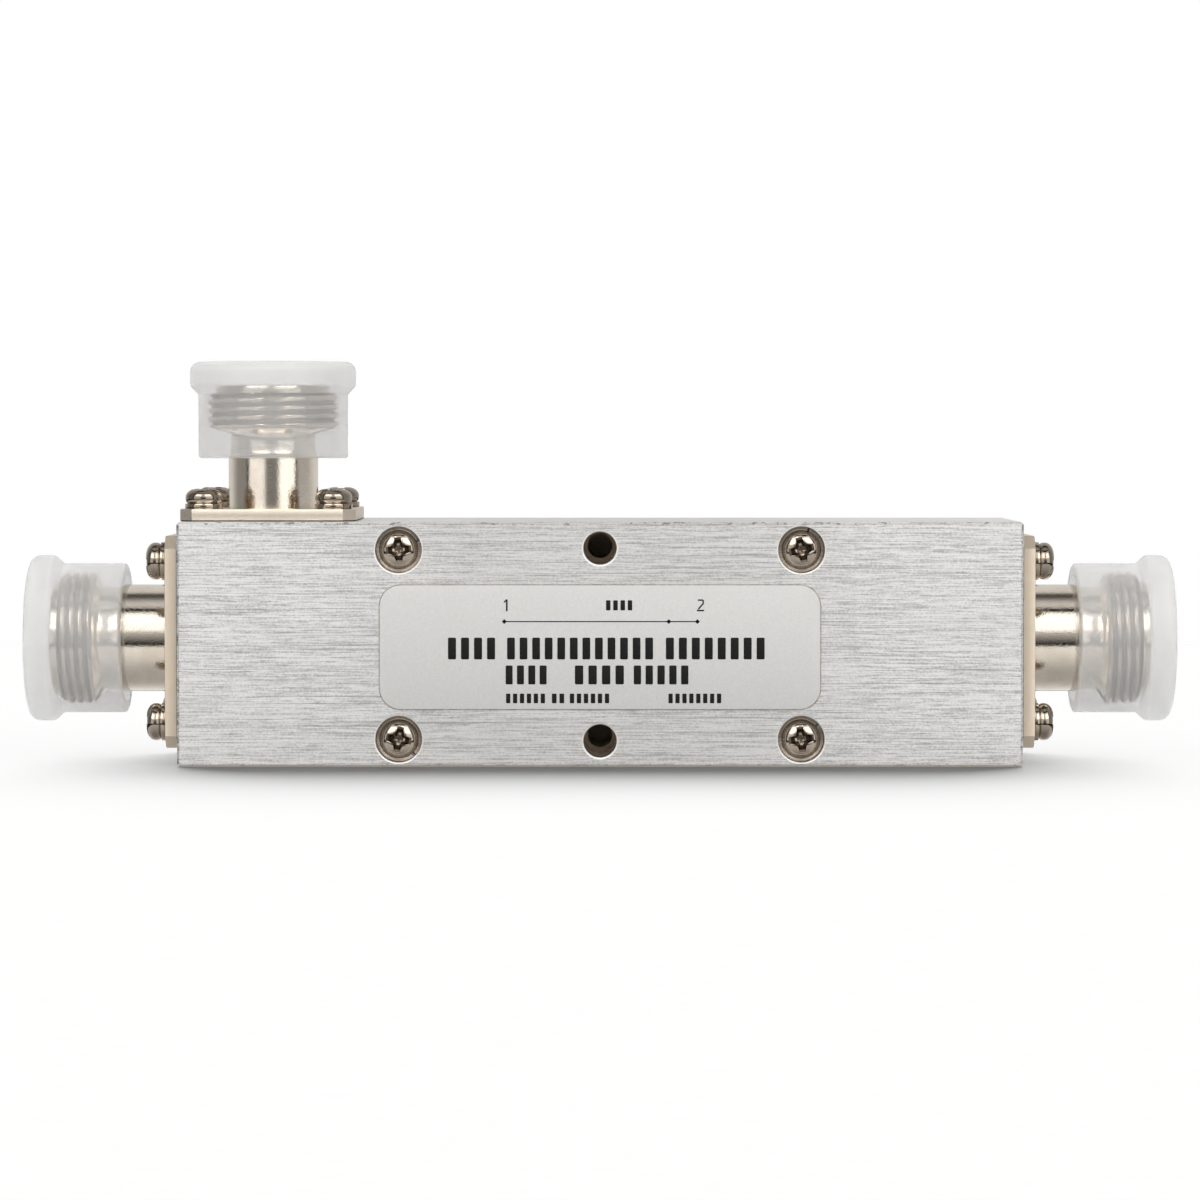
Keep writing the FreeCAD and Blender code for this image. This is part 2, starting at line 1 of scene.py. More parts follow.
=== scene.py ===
"""The looks of a coaxial directional coupler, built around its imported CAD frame.

Every length below is in millimetres unless a name says otherwise, and becomes metres when a mesh is
made. X runs along the body, the lid faces -Y and Z is up. A noise is given as its cycles a metre (one
number, or one for each axis), how many finer layers it has and how strong those are.
"""
import logging
import math
from collections.abc import Callable
from dataclasses import dataclass
from enum import Enum, IntEnum
from functools import reduce

import bmesh
import bpy
from mathutils import Matrix, Vector
from mathutils.geometry import tessellate_polygon


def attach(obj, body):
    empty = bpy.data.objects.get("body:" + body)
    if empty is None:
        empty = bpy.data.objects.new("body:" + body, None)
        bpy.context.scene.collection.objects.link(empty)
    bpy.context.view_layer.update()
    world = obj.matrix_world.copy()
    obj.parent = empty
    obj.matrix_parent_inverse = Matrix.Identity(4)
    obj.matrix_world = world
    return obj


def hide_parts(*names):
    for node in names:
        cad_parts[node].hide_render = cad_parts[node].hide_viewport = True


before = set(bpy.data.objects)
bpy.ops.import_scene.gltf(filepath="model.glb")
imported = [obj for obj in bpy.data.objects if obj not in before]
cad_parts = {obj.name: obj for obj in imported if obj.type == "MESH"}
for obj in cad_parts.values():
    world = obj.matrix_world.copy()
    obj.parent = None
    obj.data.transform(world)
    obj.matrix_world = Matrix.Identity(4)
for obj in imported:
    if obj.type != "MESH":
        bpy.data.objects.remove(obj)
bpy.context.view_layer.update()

MM = 0.001
BODY = "root"
# The range in which a noise mostly lies, and where the middle of a small rounding lies
NOISE_RANGE = (0.3, 0.7)
ROUND_SHARE = 0.3
MADE: dict = {}
Node = bpy.types.Node
Socket = bpy.types.NodeSocket
log = logging.getLogger("coupler")


class Direction(Enum):
    """Which way a connector or a screw points, as a unit vector."""

    UP = (0.0, 0.0, 1.0)
    FRONT = (0.0, -1.0, 0.0)
    LEFT = (-1.0, 0.0, 0.0)
    RIGHT = (1.0, 0.0, 0.0)

    def aim(self) -> Matrix:
        """The shortest turn that lays the Z axis along this direction."""
        return Vector((0.0, 0.0, 1.0)).rotation_difference(Vector(self.value)).to_matrix().to_4x4()


class Grain(Enum):
    """The axis along which turning marks follow one another."""

    ALONG_X = (1.0, 0.01, 0.01)
    ALONG_Z = (0.01, 0.01, 1.0)
    ALL_WAYS = (1.0, 1.0, 1.0)


class ShellPart(IntEnum):
    """The material slots of a connector's shell."""

    BARREL = 0
    FLANGE_EDGE = 1
    # Painted shadow on the flange's edge where it meets the body
    GAP_SHADOW = 2
    # The thread's nickel, painted darker for the shade inside the cap
    THREAD = 3
    FLANGE_FACE = 4
    # Painted shade down in the thread's roots
    THREAD_ROOT_SHADE = 5


# Shader graphs


class NodeGraph:
    """Short calls for laying out a shader's nodes."""

    def __init__(self, tree: bpy.types.NodeTree) -> None:
        """Starts an empty graph in the node tree of a material or a world."""
        self.tree = tree
        tree.nodes.clear()

    def node(self, kind: str, inputs: dict | None = None, **settings: object) -> Node:
        """Adds a node.

        Args:
            kind: The node's type name in Blender.
            inputs: Sockets or plain values for its inputs, by name or number.
            **settings: Properties of the node.

        Returns:
            The new node.
        """
        made = self.tree.nodes.new(kind)
        for name, value in settings.items():
            setattr(made, name, value)
        self.feed(made, inputs or {})
        return made

    def feed(self, node: Node, inputs: dict) -> None:
        """Links sockets to a node's inputs, or sets the inputs to plain values.

        Args:
            node: The node.
            inputs: Sockets or plain values, by the input's name or number.
        """
        for key, value in inputs.items():
            target = node.inputs[key]
            if isinstance(value, Socket):
                self.tree.links.new(value, target)
            else:
                target.default_value = (*value, 1.0) if target.type == "RGBA" else value

    def math(self, operation: str, *values: object) -> Socket:
        """The result of a Math node."""
        return self.node("ShaderNodeMath", dict(enumerate(values)), operation=operation).outputs[0]

    def times(self, *values: object) -> Socket:
        """The product of two or more values."""
        return reduce(lambda first, second: self.math("MULTIPLY", first, second), values)

    def plus(self, *values: object) -> Socket:
        """The sum of two or more values."""
        return reduce(lambda first, second: self.math("ADD", first, second), values)

    def off(self, value: object, middle: float = 0.0) -> Socket:
        """How far a value lies from a middle, either way."""
        return self.math("ABSOLUTE", self.math("SUBTRACT", value, middle))

    def over(self, under: object, mask: object, value: object) -> Socket:
        """A number with another one laid over it where a mask is 1."""
        return self.plus(self.times(under, self.math("SUBTRACT", 1.0, mask)), self.times(mask, value))

    def span(self, value: object, low: float, high: float, out_low: float = 0.0, out_high: float = 1.0,
             smooth: bool = True) -> Socket:
        """Maps a value from one range to another, held at its ends.

        Args:
            value: The socket to map.
            low: Start of the incoming range.
            high: End of the incoming range.
            out_low: Result at the start.
            out_high: Result at the end.
            smooth: Whether the result eases in and out.

        Returns:
            The mapped value.
        """
        inputs = dict(enumerate((value, low, high, out_low, out_high)))
        kind = "SMOOTHSTEP" if smooth else "LINEAR"
        return self.node("ShaderNodeMapRange", inputs, interpolation_type=kind, clamp=True).outputs[0]

    def place(self) -> Socket:
        """The point's place in the object's own metres."""
        return self.node("ShaderNodeTexCoord").outputs["Object"]

    def parts(self, vector: Socket) -> tuple:
        """The X, Y and Z values of a vector."""
        return tuple(self.node("ShaderNodeSeparateXYZ", {0: vector}).outputs)

    def noise(self, vector: Socket, scale: object, detail: float, rough: float) -> Socket:
        """Noise with a scale for each axis.

        Args:
            vector: The place to look up.
            scale: Cycles a metre, one number or one for each axis.
            detail: How many finer layers it has.
            rough: How strong the finer layers are.

        Returns:
            The noise value, about 0.2 to 0.8.
        """
        scales = scale if isinstance(scale, tuple) else (scale,) * 3
        stretched = self.node("ShaderNodeVectorMath", {0: vector, 1: scales}, operation="MULTIPLY")
        inputs = {"Vector": stretched.outputs[0], "Scale": 1.0, "Detail": detail, "Roughness": rough}
        return self.node("ShaderNodeTexNoise", inputs).outputs[0]

    def spots(self, vector: Socket, noise: tuple, shown: tuple) -> Socket:
        """Noise, mapped by the range in which it shows."""
        return self.span(self.noise(vector, *noise), *shown)

    def swing(self, noise: Socket, middle: float = 0.0, steps: tuple = (0.0, 1.0)) -> Socket:
        """A value that swings with a noise between two steps away from a middle."""
        return self.span(noise, *NOISE_RANGE, *(middle + step for step in steps))

    def blend(self, factor: object, first: object, second: object) -> Socket:
        """A mix of two colours, each a socket or a linear red, green and blue."""
        return self.node("ShaderNodeMix", {0: factor, 6: first, 7: second}, data_type="RGBA").outputs[2]

    def bump(self, height: Socket, depth_mm: float, strength: float) -> Socket:
        """A normal that follows a height of 0 to 1, which stands for a depth."""
        inputs = {"Height": height, "Distance": depth_mm * MM, "Strength": strength}
        return self.node("ShaderNodeBump", inputs).outputs[0]


@dataclass(frozen=True)
class Finish:
    """What every finish of the coupler has: a name and a shader built on Principled."""

    name: str

    def dress(self, graph: NodeGraph, shader: Node) -> None:
        """Adds this finish's detail to the shader."""
        raise NotImplementedError

    def material(self) -> bpy.types.Material:
        """Makes the material on its first call.

        Returns:
            The one material of this name.
        """
        if self.name not in MADE:
            made = bpy.data.materials.new(self.name)
            made.use_nodes = True
            graph = NodeGraph(made.node_tree)
            shader = graph.node("ShaderNodeBsdfPrincipled")
            self.dress(graph, shader)
            graph.node("ShaderNodeOutputMaterial", {"Surface": shader.outputs[0]})
            MADE[self.name] = made
        return MADE[self.name]


@dataclass(frozen=True)
class BrushedAluminium(Finish):
    """Coarse lengthwise brushing with scratches and nicked edges, painted shade in the holes and the middle,
    and painted highlights on the hole mouths.
    """

    bright: tuple = (1.0, 1.0, 1.0)
    dull: tuple = (0.36, 0.36, 0.36)
    scratch_tint: tuple = (0.20, 0.19, 0.18)
    # A darker, warmer band along the bottom 0.4 mm of the body
    foot_tint: tuple = (0.78, 0.73, 0.66)
    # Painted highlight: the bare chamfered hole mouths are painted near white with less metal
    bare_highlight_tint: tuple = (1.0, 0.99, 0.97)
    # Painted shade inside the mounting holes: near black at the mouth, turning to a warm tone deeper in,
    # with no metal
    hole_tint: tuple = (1.0, 0.89, 0.76)
    hole_mouth_painted_shade: tuple = (0.09, 0.074, 0.056)
    scratch_cover: float = 0.55
    nick_and_foot_cover: float = 0.8
    roughness: float = 0.41
    roughness_swing: tuple = (0.1, -0.1)
    metallic: float = 0.74
    bare_highlight_metal_loss: float = 0.55
    length: float = 100.9
    height: float = 29.2
    front: float = -14.0
    hole_edge: float = 3.1
    hole_reach: float = 2.03
    hole_mouth: tuple = (0.15, 1.2)
    hole_depth: tuple = (1.5, 7.0)
    hole_end: float = 11.2
    mouth_slants: tuple = ((0.5, 0.6), (0.9, 0.82))
    edge_width: tuple = (0.5, 0.2)
    foot_height: tuple = (0.4, 0.1)
    border: float = 0.4
    end_facing: float = 0.8
    # Painted shade: the body is darker over its middle, coming to full tone between these distances from the
    # middle
    middle_shade_reach: tuple = (12.0, 38.0)
    middle_shade_level: float = 0.79
    # Hairlines from coarse to fine, each a noise and its share
    hairlines: tuple = (((34.0, 4500.0, 4500.0), 4.0, 0.75, 0.26),
                        ((84.0, 5800.0, 5800.0), 3.0, 0.75, 0.34),
                        ((360.0, 7200.0, 7200.0), 2.0, 0.6, 0.26))
    specks: tuple = ((3900.0, 4900.0, 4900.0), 1.0, 0.5)
    speck_share: float = 0.14
    tone_range: tuple = (0.409, 0.547)
    # Patches, long and short scratches, and pits: each a noise and the range in which it shows
    patches: tuple = (((40.0, 260.0, 260.0), 2.0, 0.5), (0.2, 0.6, 0.92, 1.0))
    scratches: tuple = ((((22.0, 6400.0, 6400.0), 1.0, 0.4), (0.66, 0.74)),
                        (((260.0, 5600.0, 5600.0), 2.0, 0.6), (0.68, 0.75)))
    pits: tuple = (((900.0, 1500.0, 1500.0), 3.0, 0.7), (0.55, 0.62))
    wave: tuple = ((70.0, 150.0, 150.0), 1.0, 0.5)
    wave_height: float = 0.22
    relief_depth: float = 0.035
    relief_strength: float = 0.6
    scratch_depth: float = 0.3

    def dress(self, graph: NodeGraph, shader: Node) -> None:
        """Adds hairlines, scratches, worn edges, a bottom band, painted highlights on the bare hole mouths
        and painted shade in the holes and the middle.

        Args:
            graph: The material's graph.
            shader: Its Principled node.
        """
        place = graph.place()
        x, y, z = graph.parts(place)
        brushed = self.brushing(graph, place)
        layers = [graph.times(graph.noise(brushed, *noise), share) for *noise, share in self.hairlines]
        lines = graph.plus(*layers, graph.times(graph.noise(place, *self.specks), self.speck_share))
        # Painted shade over the body's middle, laid on the hairlines and patches
        near, far = self.middle_shade_reach
        tone = graph.times(graph.span(lines, *self.tone_range, smooth=False),
                           graph.span(graph.off(x), near * MM, far * MM, self.middle_shade_level, 1.0),
                           graph.spots(place, *self.patches))
        marks = graph.math("MAXIMUM", *(graph.spots(brushed, *scratch) for scratch in self.scratches))
        # Painted highlight on the bare chamfered hole mouths
        mouth_highlight = self.bare_highlit_mouths(graph, place)
        # Painted shade inside the holes, dark at the mouth
        inside = self.holes(graph, place)
        hole_painted_shade = graph.blend(self.behind(graph, y, self.hole_depth), self.hole_mouth_painted_shade, self.hole_tint)
        # Darker band along the bottom edge
        foot = graph.span(z, *(level * MM for level in self.foot_height))
        colour = graph.blend(tone, self.dull, self.bright)
        for mask, tint in ((graph.times(marks, self.scratch_cover), self.scratch_tint),
                           (graph.times(self.nicks(graph, place), self.nick_and_foot_cover), self.scratch_tint),
                           (graph.times(foot, self.nick_and_foot_cover), self.foot_tint),
                           (mouth_highlight, self.bare_highlight_tint), (inside, hole_painted_shade)):
            colour = graph.blend(mask, colour, tint)
        # No metal in the holes' painted shade, and less on the mouths' painted highlight
        painted_light_nonmetal = graph.math("MAXIMUM", inside, graph.times(mouth_highlight, self.bare_highlight_metal_loss))
        relief = graph.math("SUBTRACT", lines, graph.times(marks, self.scratch_depth))
        graph.feed(shader, {
            "Base Color": colour,
            "Metallic": graph.times(graph.math("SUBTRACT", 1.0, painted_light_nonmetal), self.metallic),
            "Roughness": graph.swing(lines, self.roughness, self.roughness_swing),
            "Normal": graph.bump(relief, self.relief_depth, self.relief_strength)})

    def behind(self, graph: NodeGraph, y: Socket, depths: tuple) -> Socket:
        """Rises from 0 to 1 between two depths behind the lid's face."""
        return graph.span(y, *((self.front + depth) * MM for depth in depths))

    def holes(self, graph: NodeGraph, place: Socket) -> Socket:
        """How far a point lies inside one of the two mounting holes.

        Args:
            graph: The material's graph.
            place: The point's place.

        Returns:
            0 outside the holes and 1 inside.
        """
        x, y, z = graph.parts(place)
        middle = self.height / 2 * MM
        rise = graph.math("SUBTRACT", graph.off(z, middle), middle - self.hole_edge * MM)
        radius = graph.math("SQRT", graph.plus(graph.times(x, x), graph.times(rise, rise)))
        return graph.times(graph.math("LESS_THAN", radius, self.hole_reach * MM),
                           self.behind(graph, y, self.hole_mouth),
                           graph.math("LESS_THAN", y, self.hole_end * MM))

    def bare_highlit_mouths(self, graph: NodeGraph, place: Socket) -> Socket:
        """Where the chamfered mouths of the front holes lie, bare of brushing and given a painted highlight.

        Args:
            graph: The material's graph.
            place: The point's place.

        Returns:
            1 on the chamfers and 0 elsewhere.
        """
        x, _, z = graph.parts(place)
        middle = self.height / 2
        facing = graph.off(graph.parts(graph.node("ShaderNodeNewGeometry").outputs["True Normal"])[1])
        return graph.times(
            *(graph.span(facing, *slant) for slant in self.mouth_slants),
            graph.math("LESS_THAN", graph.off(z, middle * MM), (middle - self.border) * MM),
            graph.math("LESS_THAN", graph.off(x), (self.length / 2 - self.border) * MM))

    def brushing(self, graph: NodeGraph, place: Socket) -> Socket:
        """The place along and across the brushing, which turns on the end faces.

        Args:
            graph: The material's graph.
            place: The point's place.

        Returns:
            A vector whose X runs along the hairlines, slightly wavy.
        """
        x, y, z = graph.parts(place)
        facing = graph.parts(graph.node("ShaderNodeNewGeometry").outputs["Normal"])[0]
        end_face = graph.math("GREATER_THAN", graph.off(facing), self.end_facing)
        wave = graph.times(graph.noise(place, *self.wave), self.wave_height * MM)
        turned_place = {0: graph.over(x, end_face, y), 1: graph.over(y, end_face, x), 2: graph.plus(z, wave)}
        return graph.node("ShaderNodeCombineXYZ", turned_place).outputs[0]

    def nicks(self, graph: NodeGraph, place: Socket) -> Socket:
        """Where the body's outer edges are nicked.

        Args:
            graph: The material's graph.
            place: The point's place.

        Returns:
            0 on sound metal and 1 in a nick.
        """
        halves = (self.length / 2, -self.front, self.height / 2)
        middles = (0.0, 0.0, halves[2])
        near = [graph.span(graph.off(value, middle * MM), *((half - gap) * MM for gap in self.edge_width))
                for value, middle, half in zip(graph.parts(place), middles, halves)]
        lesser = graph.math("MINIMUM", near[0], near[1])
        greater = graph.math("MAXIMUM", near[0], near[1])
        on_edge = graph.math("MAXIMUM", lesser, graph.math("MINIMUM", greater, near[2]))
        return graph.times(on_edge, graph.spots(place, *self.pits))


@dataclass(frozen=True)
class TurnedMetal(Finish):
    """Plated metal with fine turning marks, such as the nickel of the connectors."""

    colour: tuple = (0.86, 0.79, 0.70)
    shade: tuple = (0.80, 0.72, 0.62)
    roughness: float = 0.075
    grain: Grain = Grain.ALL_WAYS
    mark_noise: tuple = (9000.0, 2.0, 0.5)
    grit: float = 14.0
    grit_noise: tuple = (4600.0, 2.0, 0.6)
    cloud_noise: tuple = (420.0, 3.0, 0.6)
    tarnish: tuple = (0.35, 0.7)
    roughness_swing: tuple = (-0.015, 0.03)
    relief_depth: float = 0.0025
    relief_strength: float = 0.3

    def dress(self, graph: NodeGraph, shader: Node) -> None:
        """Adds turning marks, cloudy tarnish and small pits.

        Args:
            graph: The material's graph.
            shader: Its Principled node.
        """
        place = graph.place()
        cycles, *finer = self.mark_noise
        rings = graph.noise(place, tuple(cycles * share for share in self.grain.value), *finer)
        clouds = graph.noise(place, *self.cloud_noise)
        relief = graph.plus(rings, graph.times(graph.noise(place, *self.grit_noise), self.grit))
        graph.feed(shader, {
            "Base Color": graph.blend(graph.span(clouds, *self.tarnish), self.colour, self.shade),
            "Metallic": 1.0,
            "Roughness": graph.swing(clouds, self.roughness, self.roughness_swing),
            "Normal": graph.bump(relief, self.relief_depth, self.relief_strength)})


@dataclass(frozen=True)
class FrostedPlastic(Finish):
    """Milky polythene with a faint skin texture, thin enough to show what it covers."""

    colour: tuple = (0.66, 0.66, 0.66)
    second: tuple = (0.62, 0.62, 0.62)
    cover: float = 0.45
    roughness: float = 0.38
    roughness_swing: tuple = (-0.04, 0.06)
    specular: float = 0.3
    glow: float = 1.0
    glow_depth: float = 2.5
    skin_noise: tuple = (1500.0, 3.0, 0.6)
    cloud_noise: tuple = (160.0, 2.0, 0.5)

    def dress(self, graph: NodeGraph, shader: Node) -> None:
        """Adds the milky clouds and the satin skin.

        Args:
            graph: The material's graph.
            shader: Its Principled node.
        """
        place = graph.place()
        skin = graph.noise(place, *self.skin_noise)
        clouds = graph.noise(place, *self.cloud_noise)
        graph.feed(shader, {
            "Base Color": graph.blend(graph.swing(clouds), self.colour, self.second),
            "Roughness": graph.swing(skin, self.roughness, self.roughness_swing),
            "Alpha": self.cover,
            "Specular IOR Level": self.specular,
            "Subsurface Weight": self.glow,
            "Subsurface Radius": (1.0, 1.0, 1.0),
            "Subsurface Scale": self.glow_depth * MM})


@dataclass(frozen=True)
class MatteSurface(Finish):
    """A dull or satin surface with a fine speckle: foil, ink, rubber, fluoroplastic, ceramic."""

    colour: tuple = (0.7, 0.7, 0.7)
    second: tuple = (0.6, 0.6, 0.6)
    metallic: float = 0.0
    roughness: float = 0.5
    speckle: float = 5000.0
    relief_depth: float = 0.004
    specular: float = 0.5
    finer: tuple = (3.0, 0.6)
    roughness_swing: tuple = (-0.05, 0.05)
    relief_strength: float = 0.4

    def dress(self, graph: NodeGraph, shader: Node) -> None:
        """Adds the speckle to colour, gloss and relief.

        Args:
            graph: The material's graph.
            shader: Its Principled node.
        """
        speck = graph.noise(graph.place(), self.speckle, *self.finer)
        graph.feed(shader, {
            "Base Color": graph.blend(graph.swing(speck), self.colour, self.second),
            "Metallic": self.metallic,
            "Roughness": graph.swing(speck, self.roughness, self.roughness_swing),
            "Specular IOR Level": self.specular,
            "Normal": graph.bump(speck, self.relief_depth, self.relief_strength)})


@dataclass(frozen=True)
class Finishes:
    """Every finish of the coupler."""

    aluminium: Finish = BrushedAluminium("brushed_aluminium")
    nickel_x: Finish = TurnedMetal("nickel_turned_along", grain=Grain.ALONG_X, grit=17.0)
    nickel_z: Finish = TurnedMetal("nickel_turned_upright", grain=Grain.ALONG_Z, grit=21.0)
    # Lit and shaded copies of one milled nickel: the side flanges' edges are painted lighter, the top
    # flange's darker
    milled_side: Finish = TurnedMetal(
        "nickel_milled_side_painted_light", (0.82, 0.72, 0.59), (0.76, 0.66, 0.53), 0.42, grit=6.0)
    milled_top: Finish = TurnedMetal(
        "nickel_milled_top_painted_shade", (0.74, 0.666, 0.574), (0.68, 0.607, 0.515), 0.42, grit=6.0)
    plate_face: Finish = TurnedMetal("nickel_plate_face", (0.80, 0.74, 0.66), (0.74, 0.675, 0.59), 0.24)
    # Painted shade: the threads are the barrel nickel painted darker for the shade inside the caps, the side
    # ports' darker than the upright one's
    thread_shade_x: Finish = TurnedMetal(
        "nickel_thread_along_painted_shade", (0.60, 0.52, 0.44), (0.48, 0.41, 0.34), 0.09, grit=4.0)
    thread_shade_z: Finish = TurnedMetal(
        "nickel_thread_upright_painted_shade", (0.70, 0.61, 0.51), (0.58, 0.50, 0.41), 0.09, grit=4.0)
    # Painted shade in the thread's roots
    thread_root_painted_shade: Finish = TurnedMetal("thread_root_painted_shade", (0.17, 0.14, 0.11), (0.10, 0.08, 0.06), 0.3, grit=4.0)
    # Painted shade: the inside of the screws' cross recess is their nickel painted dark
    recess: Finish = TurnedMetal("screw_recess_painted_shade", (0.14, 0.115, 0.09), (0.09, 0.072, 0.056), 0.35, grit=4.0)
    # Painted shadow: the flange's rounded edge against the body is painted near black for the shade in the
    # gap
    seam: Finish = MatteSurface("flange_gap_painted_shadow", (0.035, 0.028, 0.022), (0.02, 0.016, 0.012), 0.0, 0.7)
    screw: Finish = TurnedMetal("screw_nickel", (0.46, 0.40, 0.335), (0.40, 0.34, 0.28), 0.08, grit=4.0)
    # Painted shade: the flange screws are the screw nickel painted darker
    flange_screw: Finish = TurnedMetal(
        "flange_screw_nickel_painted_shade", (0.36, 0.315, 0.265), (0.30, 0.26, 0.215), 0.07, grit=4.0)
    washer: Finish = TurnedMetal("washer_nickel", (0.44, 0.375, 0.31), (0.36, 0.30, 0.245), 0.09, grit=4.0)
    gold: Finish = TurnedMetal("gold_plating", (0.92, 0.66, 0.28), (0.80, 0.54, 0.22), 0.2, grit=4.0)
    silver: Finish = TurnedMetal("silver_plating", (0.90, 0.88, 0.83), (0.74, 0.71, 0.65), 0.28)
    load_plate: Finish = TurnedMetal("plated_load_plate", (0.78, 0.74, 0.66), (0.62, 0.58, 0.50), 0.3)
    plastic: Finish = FrostedPlastic("frosted_cap")
    cap_bore: Finish = FrostedPlastic("frosted_cap_bore", cover=0.08, glow=0.0)
    foil: Finish = MatteSurface(
        "satin_foil", (0.585, 0.585, 0.58), (0.54, 0.54, 0.536), 0.2, 0.5, specular=0.25)
    foil_rim: Finish = MatteSurface("label_rim", (0.34, 0.31, 0.27), (0.20, 0.175, 0.15), 0.0, 0.7, 1500.0)
    ink: Finish = MatteSurface(
        "label_ink", (0.006, 0.006, 0.006), (0.010, 0.010, 0.010), 0.0, 0.6, specular=0.15)
    fluoroplastic: Finish = MatteSurface("fluoroplastic", (0.88, 0.87, 0.84), (0.82, 0.81, 0.78), 0.0, 0.4)
    rubber: Finish = MatteSurface("black_rubber", (0.05, 0.05, 0.05), (0.03, 0.03, 0.03), 0.0, 0.7)
    ceramic: Finish = MatteSurface("white_ceramic", (0.80, 0.77, 0.70), (0.72, 0.69, 0.62), 0.0, 0.45)


# Mesh drawing


def spin(turn_deg: float) -> Matrix:
    """A turn about Z."""
    return Matrix.Rotation(math.radians(turn_deg), 4, "Z")


def on_front(x: float, y: float, z: float, turn_deg: float = 0.0) -> Matrix:
    """Where a piece drawn along Z goes to face the front, turned about its own axis."""
    return Matrix.Translation((x, y, z)) @ Direction.FRONT.aim() @ spin(turn_deg)


def soft_edges(edge: float, top: float) -> list:
    """Inset and height of the points that round both edges of a rim, from z = 0 to its top."""
    lower = [(edge, 0.0), (ROUND_SHARE * edge, ROUND_SHARE * edge), (0.0, edge)]
    return lower + [(inset, top - level) for inset, level in reversed(lower)]


def polar(radius: float, angle: float, height: float = 0.0) -> tuple:
    """The point at a radius and an angle about Z."""
    return (radius * math.cos(angle), radius * math.sin(angle), height)


class Draft:
    """Points and faces of one piece while it is drawn, in millimetres."""

    def __init__(self) -> None:
        """Starts with nothing drawn."""
        self.points: list = []
        self.faces: list = []
        self.slots: list = []

    def add_points(self, points: object) -> list:
        """Adds points.

        Args:
            points: Their places.

        Returns:
            Their numbers.
        """
        start = len(self.points)
        self.points.extend(tuple(float(v) for v in point) for point in points)
        return list(range(start, len(self.points)))

    def add_face(self, face: tuple, slot: int = 0) -> None:
        """Adds one face of a material slot."""
        self.faces.append(tuple(face))
        self.slots.append(int(slot))

    def strip(self, first: list, second: list, slot: int | Callable = 0) -> None:
        """Fills the band between two closed rows of as many points.

        Args:
            first: Point numbers of one row.
            second: Point numbers of the other row.
            slot: The material slot of the band, or what gives it from each point of the first row.
        """
        for index, number in enumerate(first):
            after = (index + 1) % len(first)
            chosen = slot(self.points[number]) if callable(slot) else slot
            self.add_face((number, first[after], second[after], second[index]), chosen)

    def loft(self, rows: list, slot: int | Callable = 0) -> None:
        """Fills the bands between rows that follow one another."""
        for first, second in zip(rows, rows[1:]):
            self.strip(first, second, slot)

    def fan(self, row: list, centre: tuple, slot: int = 0) -> None:
        """Closes a ring with triangles to one point.

        Args:
            row: Point numbers of the ring.
            centre: Place of the point.
            slot: The material slot of the triangles.
        """
        middle = self.add_points([centre])[0]
        for index in range(len(row)):
            self.add_face((row[index], row[(index + 1) % len(row)], middle), slot)

    def sheet(self, loops: list, slot: int = 0) -> None:
        """Fills a flat outline that has holes.

        Args:
            loops: Lists of point numbers, the outline first.
            slot: The material slot of the sheet.
        """
        flat = [[Vector(self.points[number]) for number in loop] for loop in loops]
        numbers = [number for loop in loops for number in loop]
        for triangle in tessellate_polygon(flat):
            self.add_face(tuple(numbers[index] for index in triangle), slot)

    def merge(self, other: "Draft", matrix: Matrix) -> None:
        """Adds a laid copy of another draft.

        Args:
            other: What to copy.
            matrix: Where to lay it.
        """
        start = len(self.points)
        self.points.extend(tuple(matrix @ Vector(point)) for point in other.points)
        self.faces.extend(tuple(start + number for number in face) for face in other.faces)
        self.slots.extend(other.slots)

    def piece(self, name: str, slot_name: str, finishes: list, seats: list,
              sharp_deg: float = 35.0) -> bpy.types.Object:
        """Makes one object of a copy on each seat and lets it ride on the body.

        Args:
            name: The piece's name.
            slot_name: Not used.
            finishes: The finish of each material slot.
            seats: Where each copy of the drawing is laid.
            sharp_deg: Edges steeper than this stay sharp.

        Returns:
            The new object.
        """
        laid = Draft()
        for seat in seats:
            laid.merge(self, seat)
        mesh = bpy.data.meshes.new(name)
        mesh.from_pydata([tuple(v * MM for v in point) for point in laid.points], [], laid.faces)
        mesh.polygons.foreach_set("material_index", laid.slots)
        for finish in finishes:
            mesh.materials.append(finish.material())
        shaped = bmesh.new()
        shaped.from_mesh(mesh)
        bmesh.ops.recalc_face_normals(shaped, faces=shaped.faces)
        shaped.to_mesh(mesh)
        shaped.free()
        mesh.polygons.foreach_set("use_smooth", [True] * len(mesh.polygons))
        mesh.set_sharp_from_angle(angle=math.radians(sharp_deg))
        made = bpy.data.objects.new(name, mesh)
        bpy.context.scene.collection.objects.link(made)
        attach(made, BODY)
        log.info("%s: %d faces", name, len(mesh.polygons))
        return made


def ring(radius: float, height: float, count: int) -> list:
    """Points of a level circle about Z."""
    return [polar(radius, 2 * math.pi * step / count, height) for step in range(count)]


def corner(radius: float, height: float, steps: tuple) -> list:
    """Points of a profile near a corner, each by its steps from there."""
    return [(radius + out, height + up) for out, up in steps]


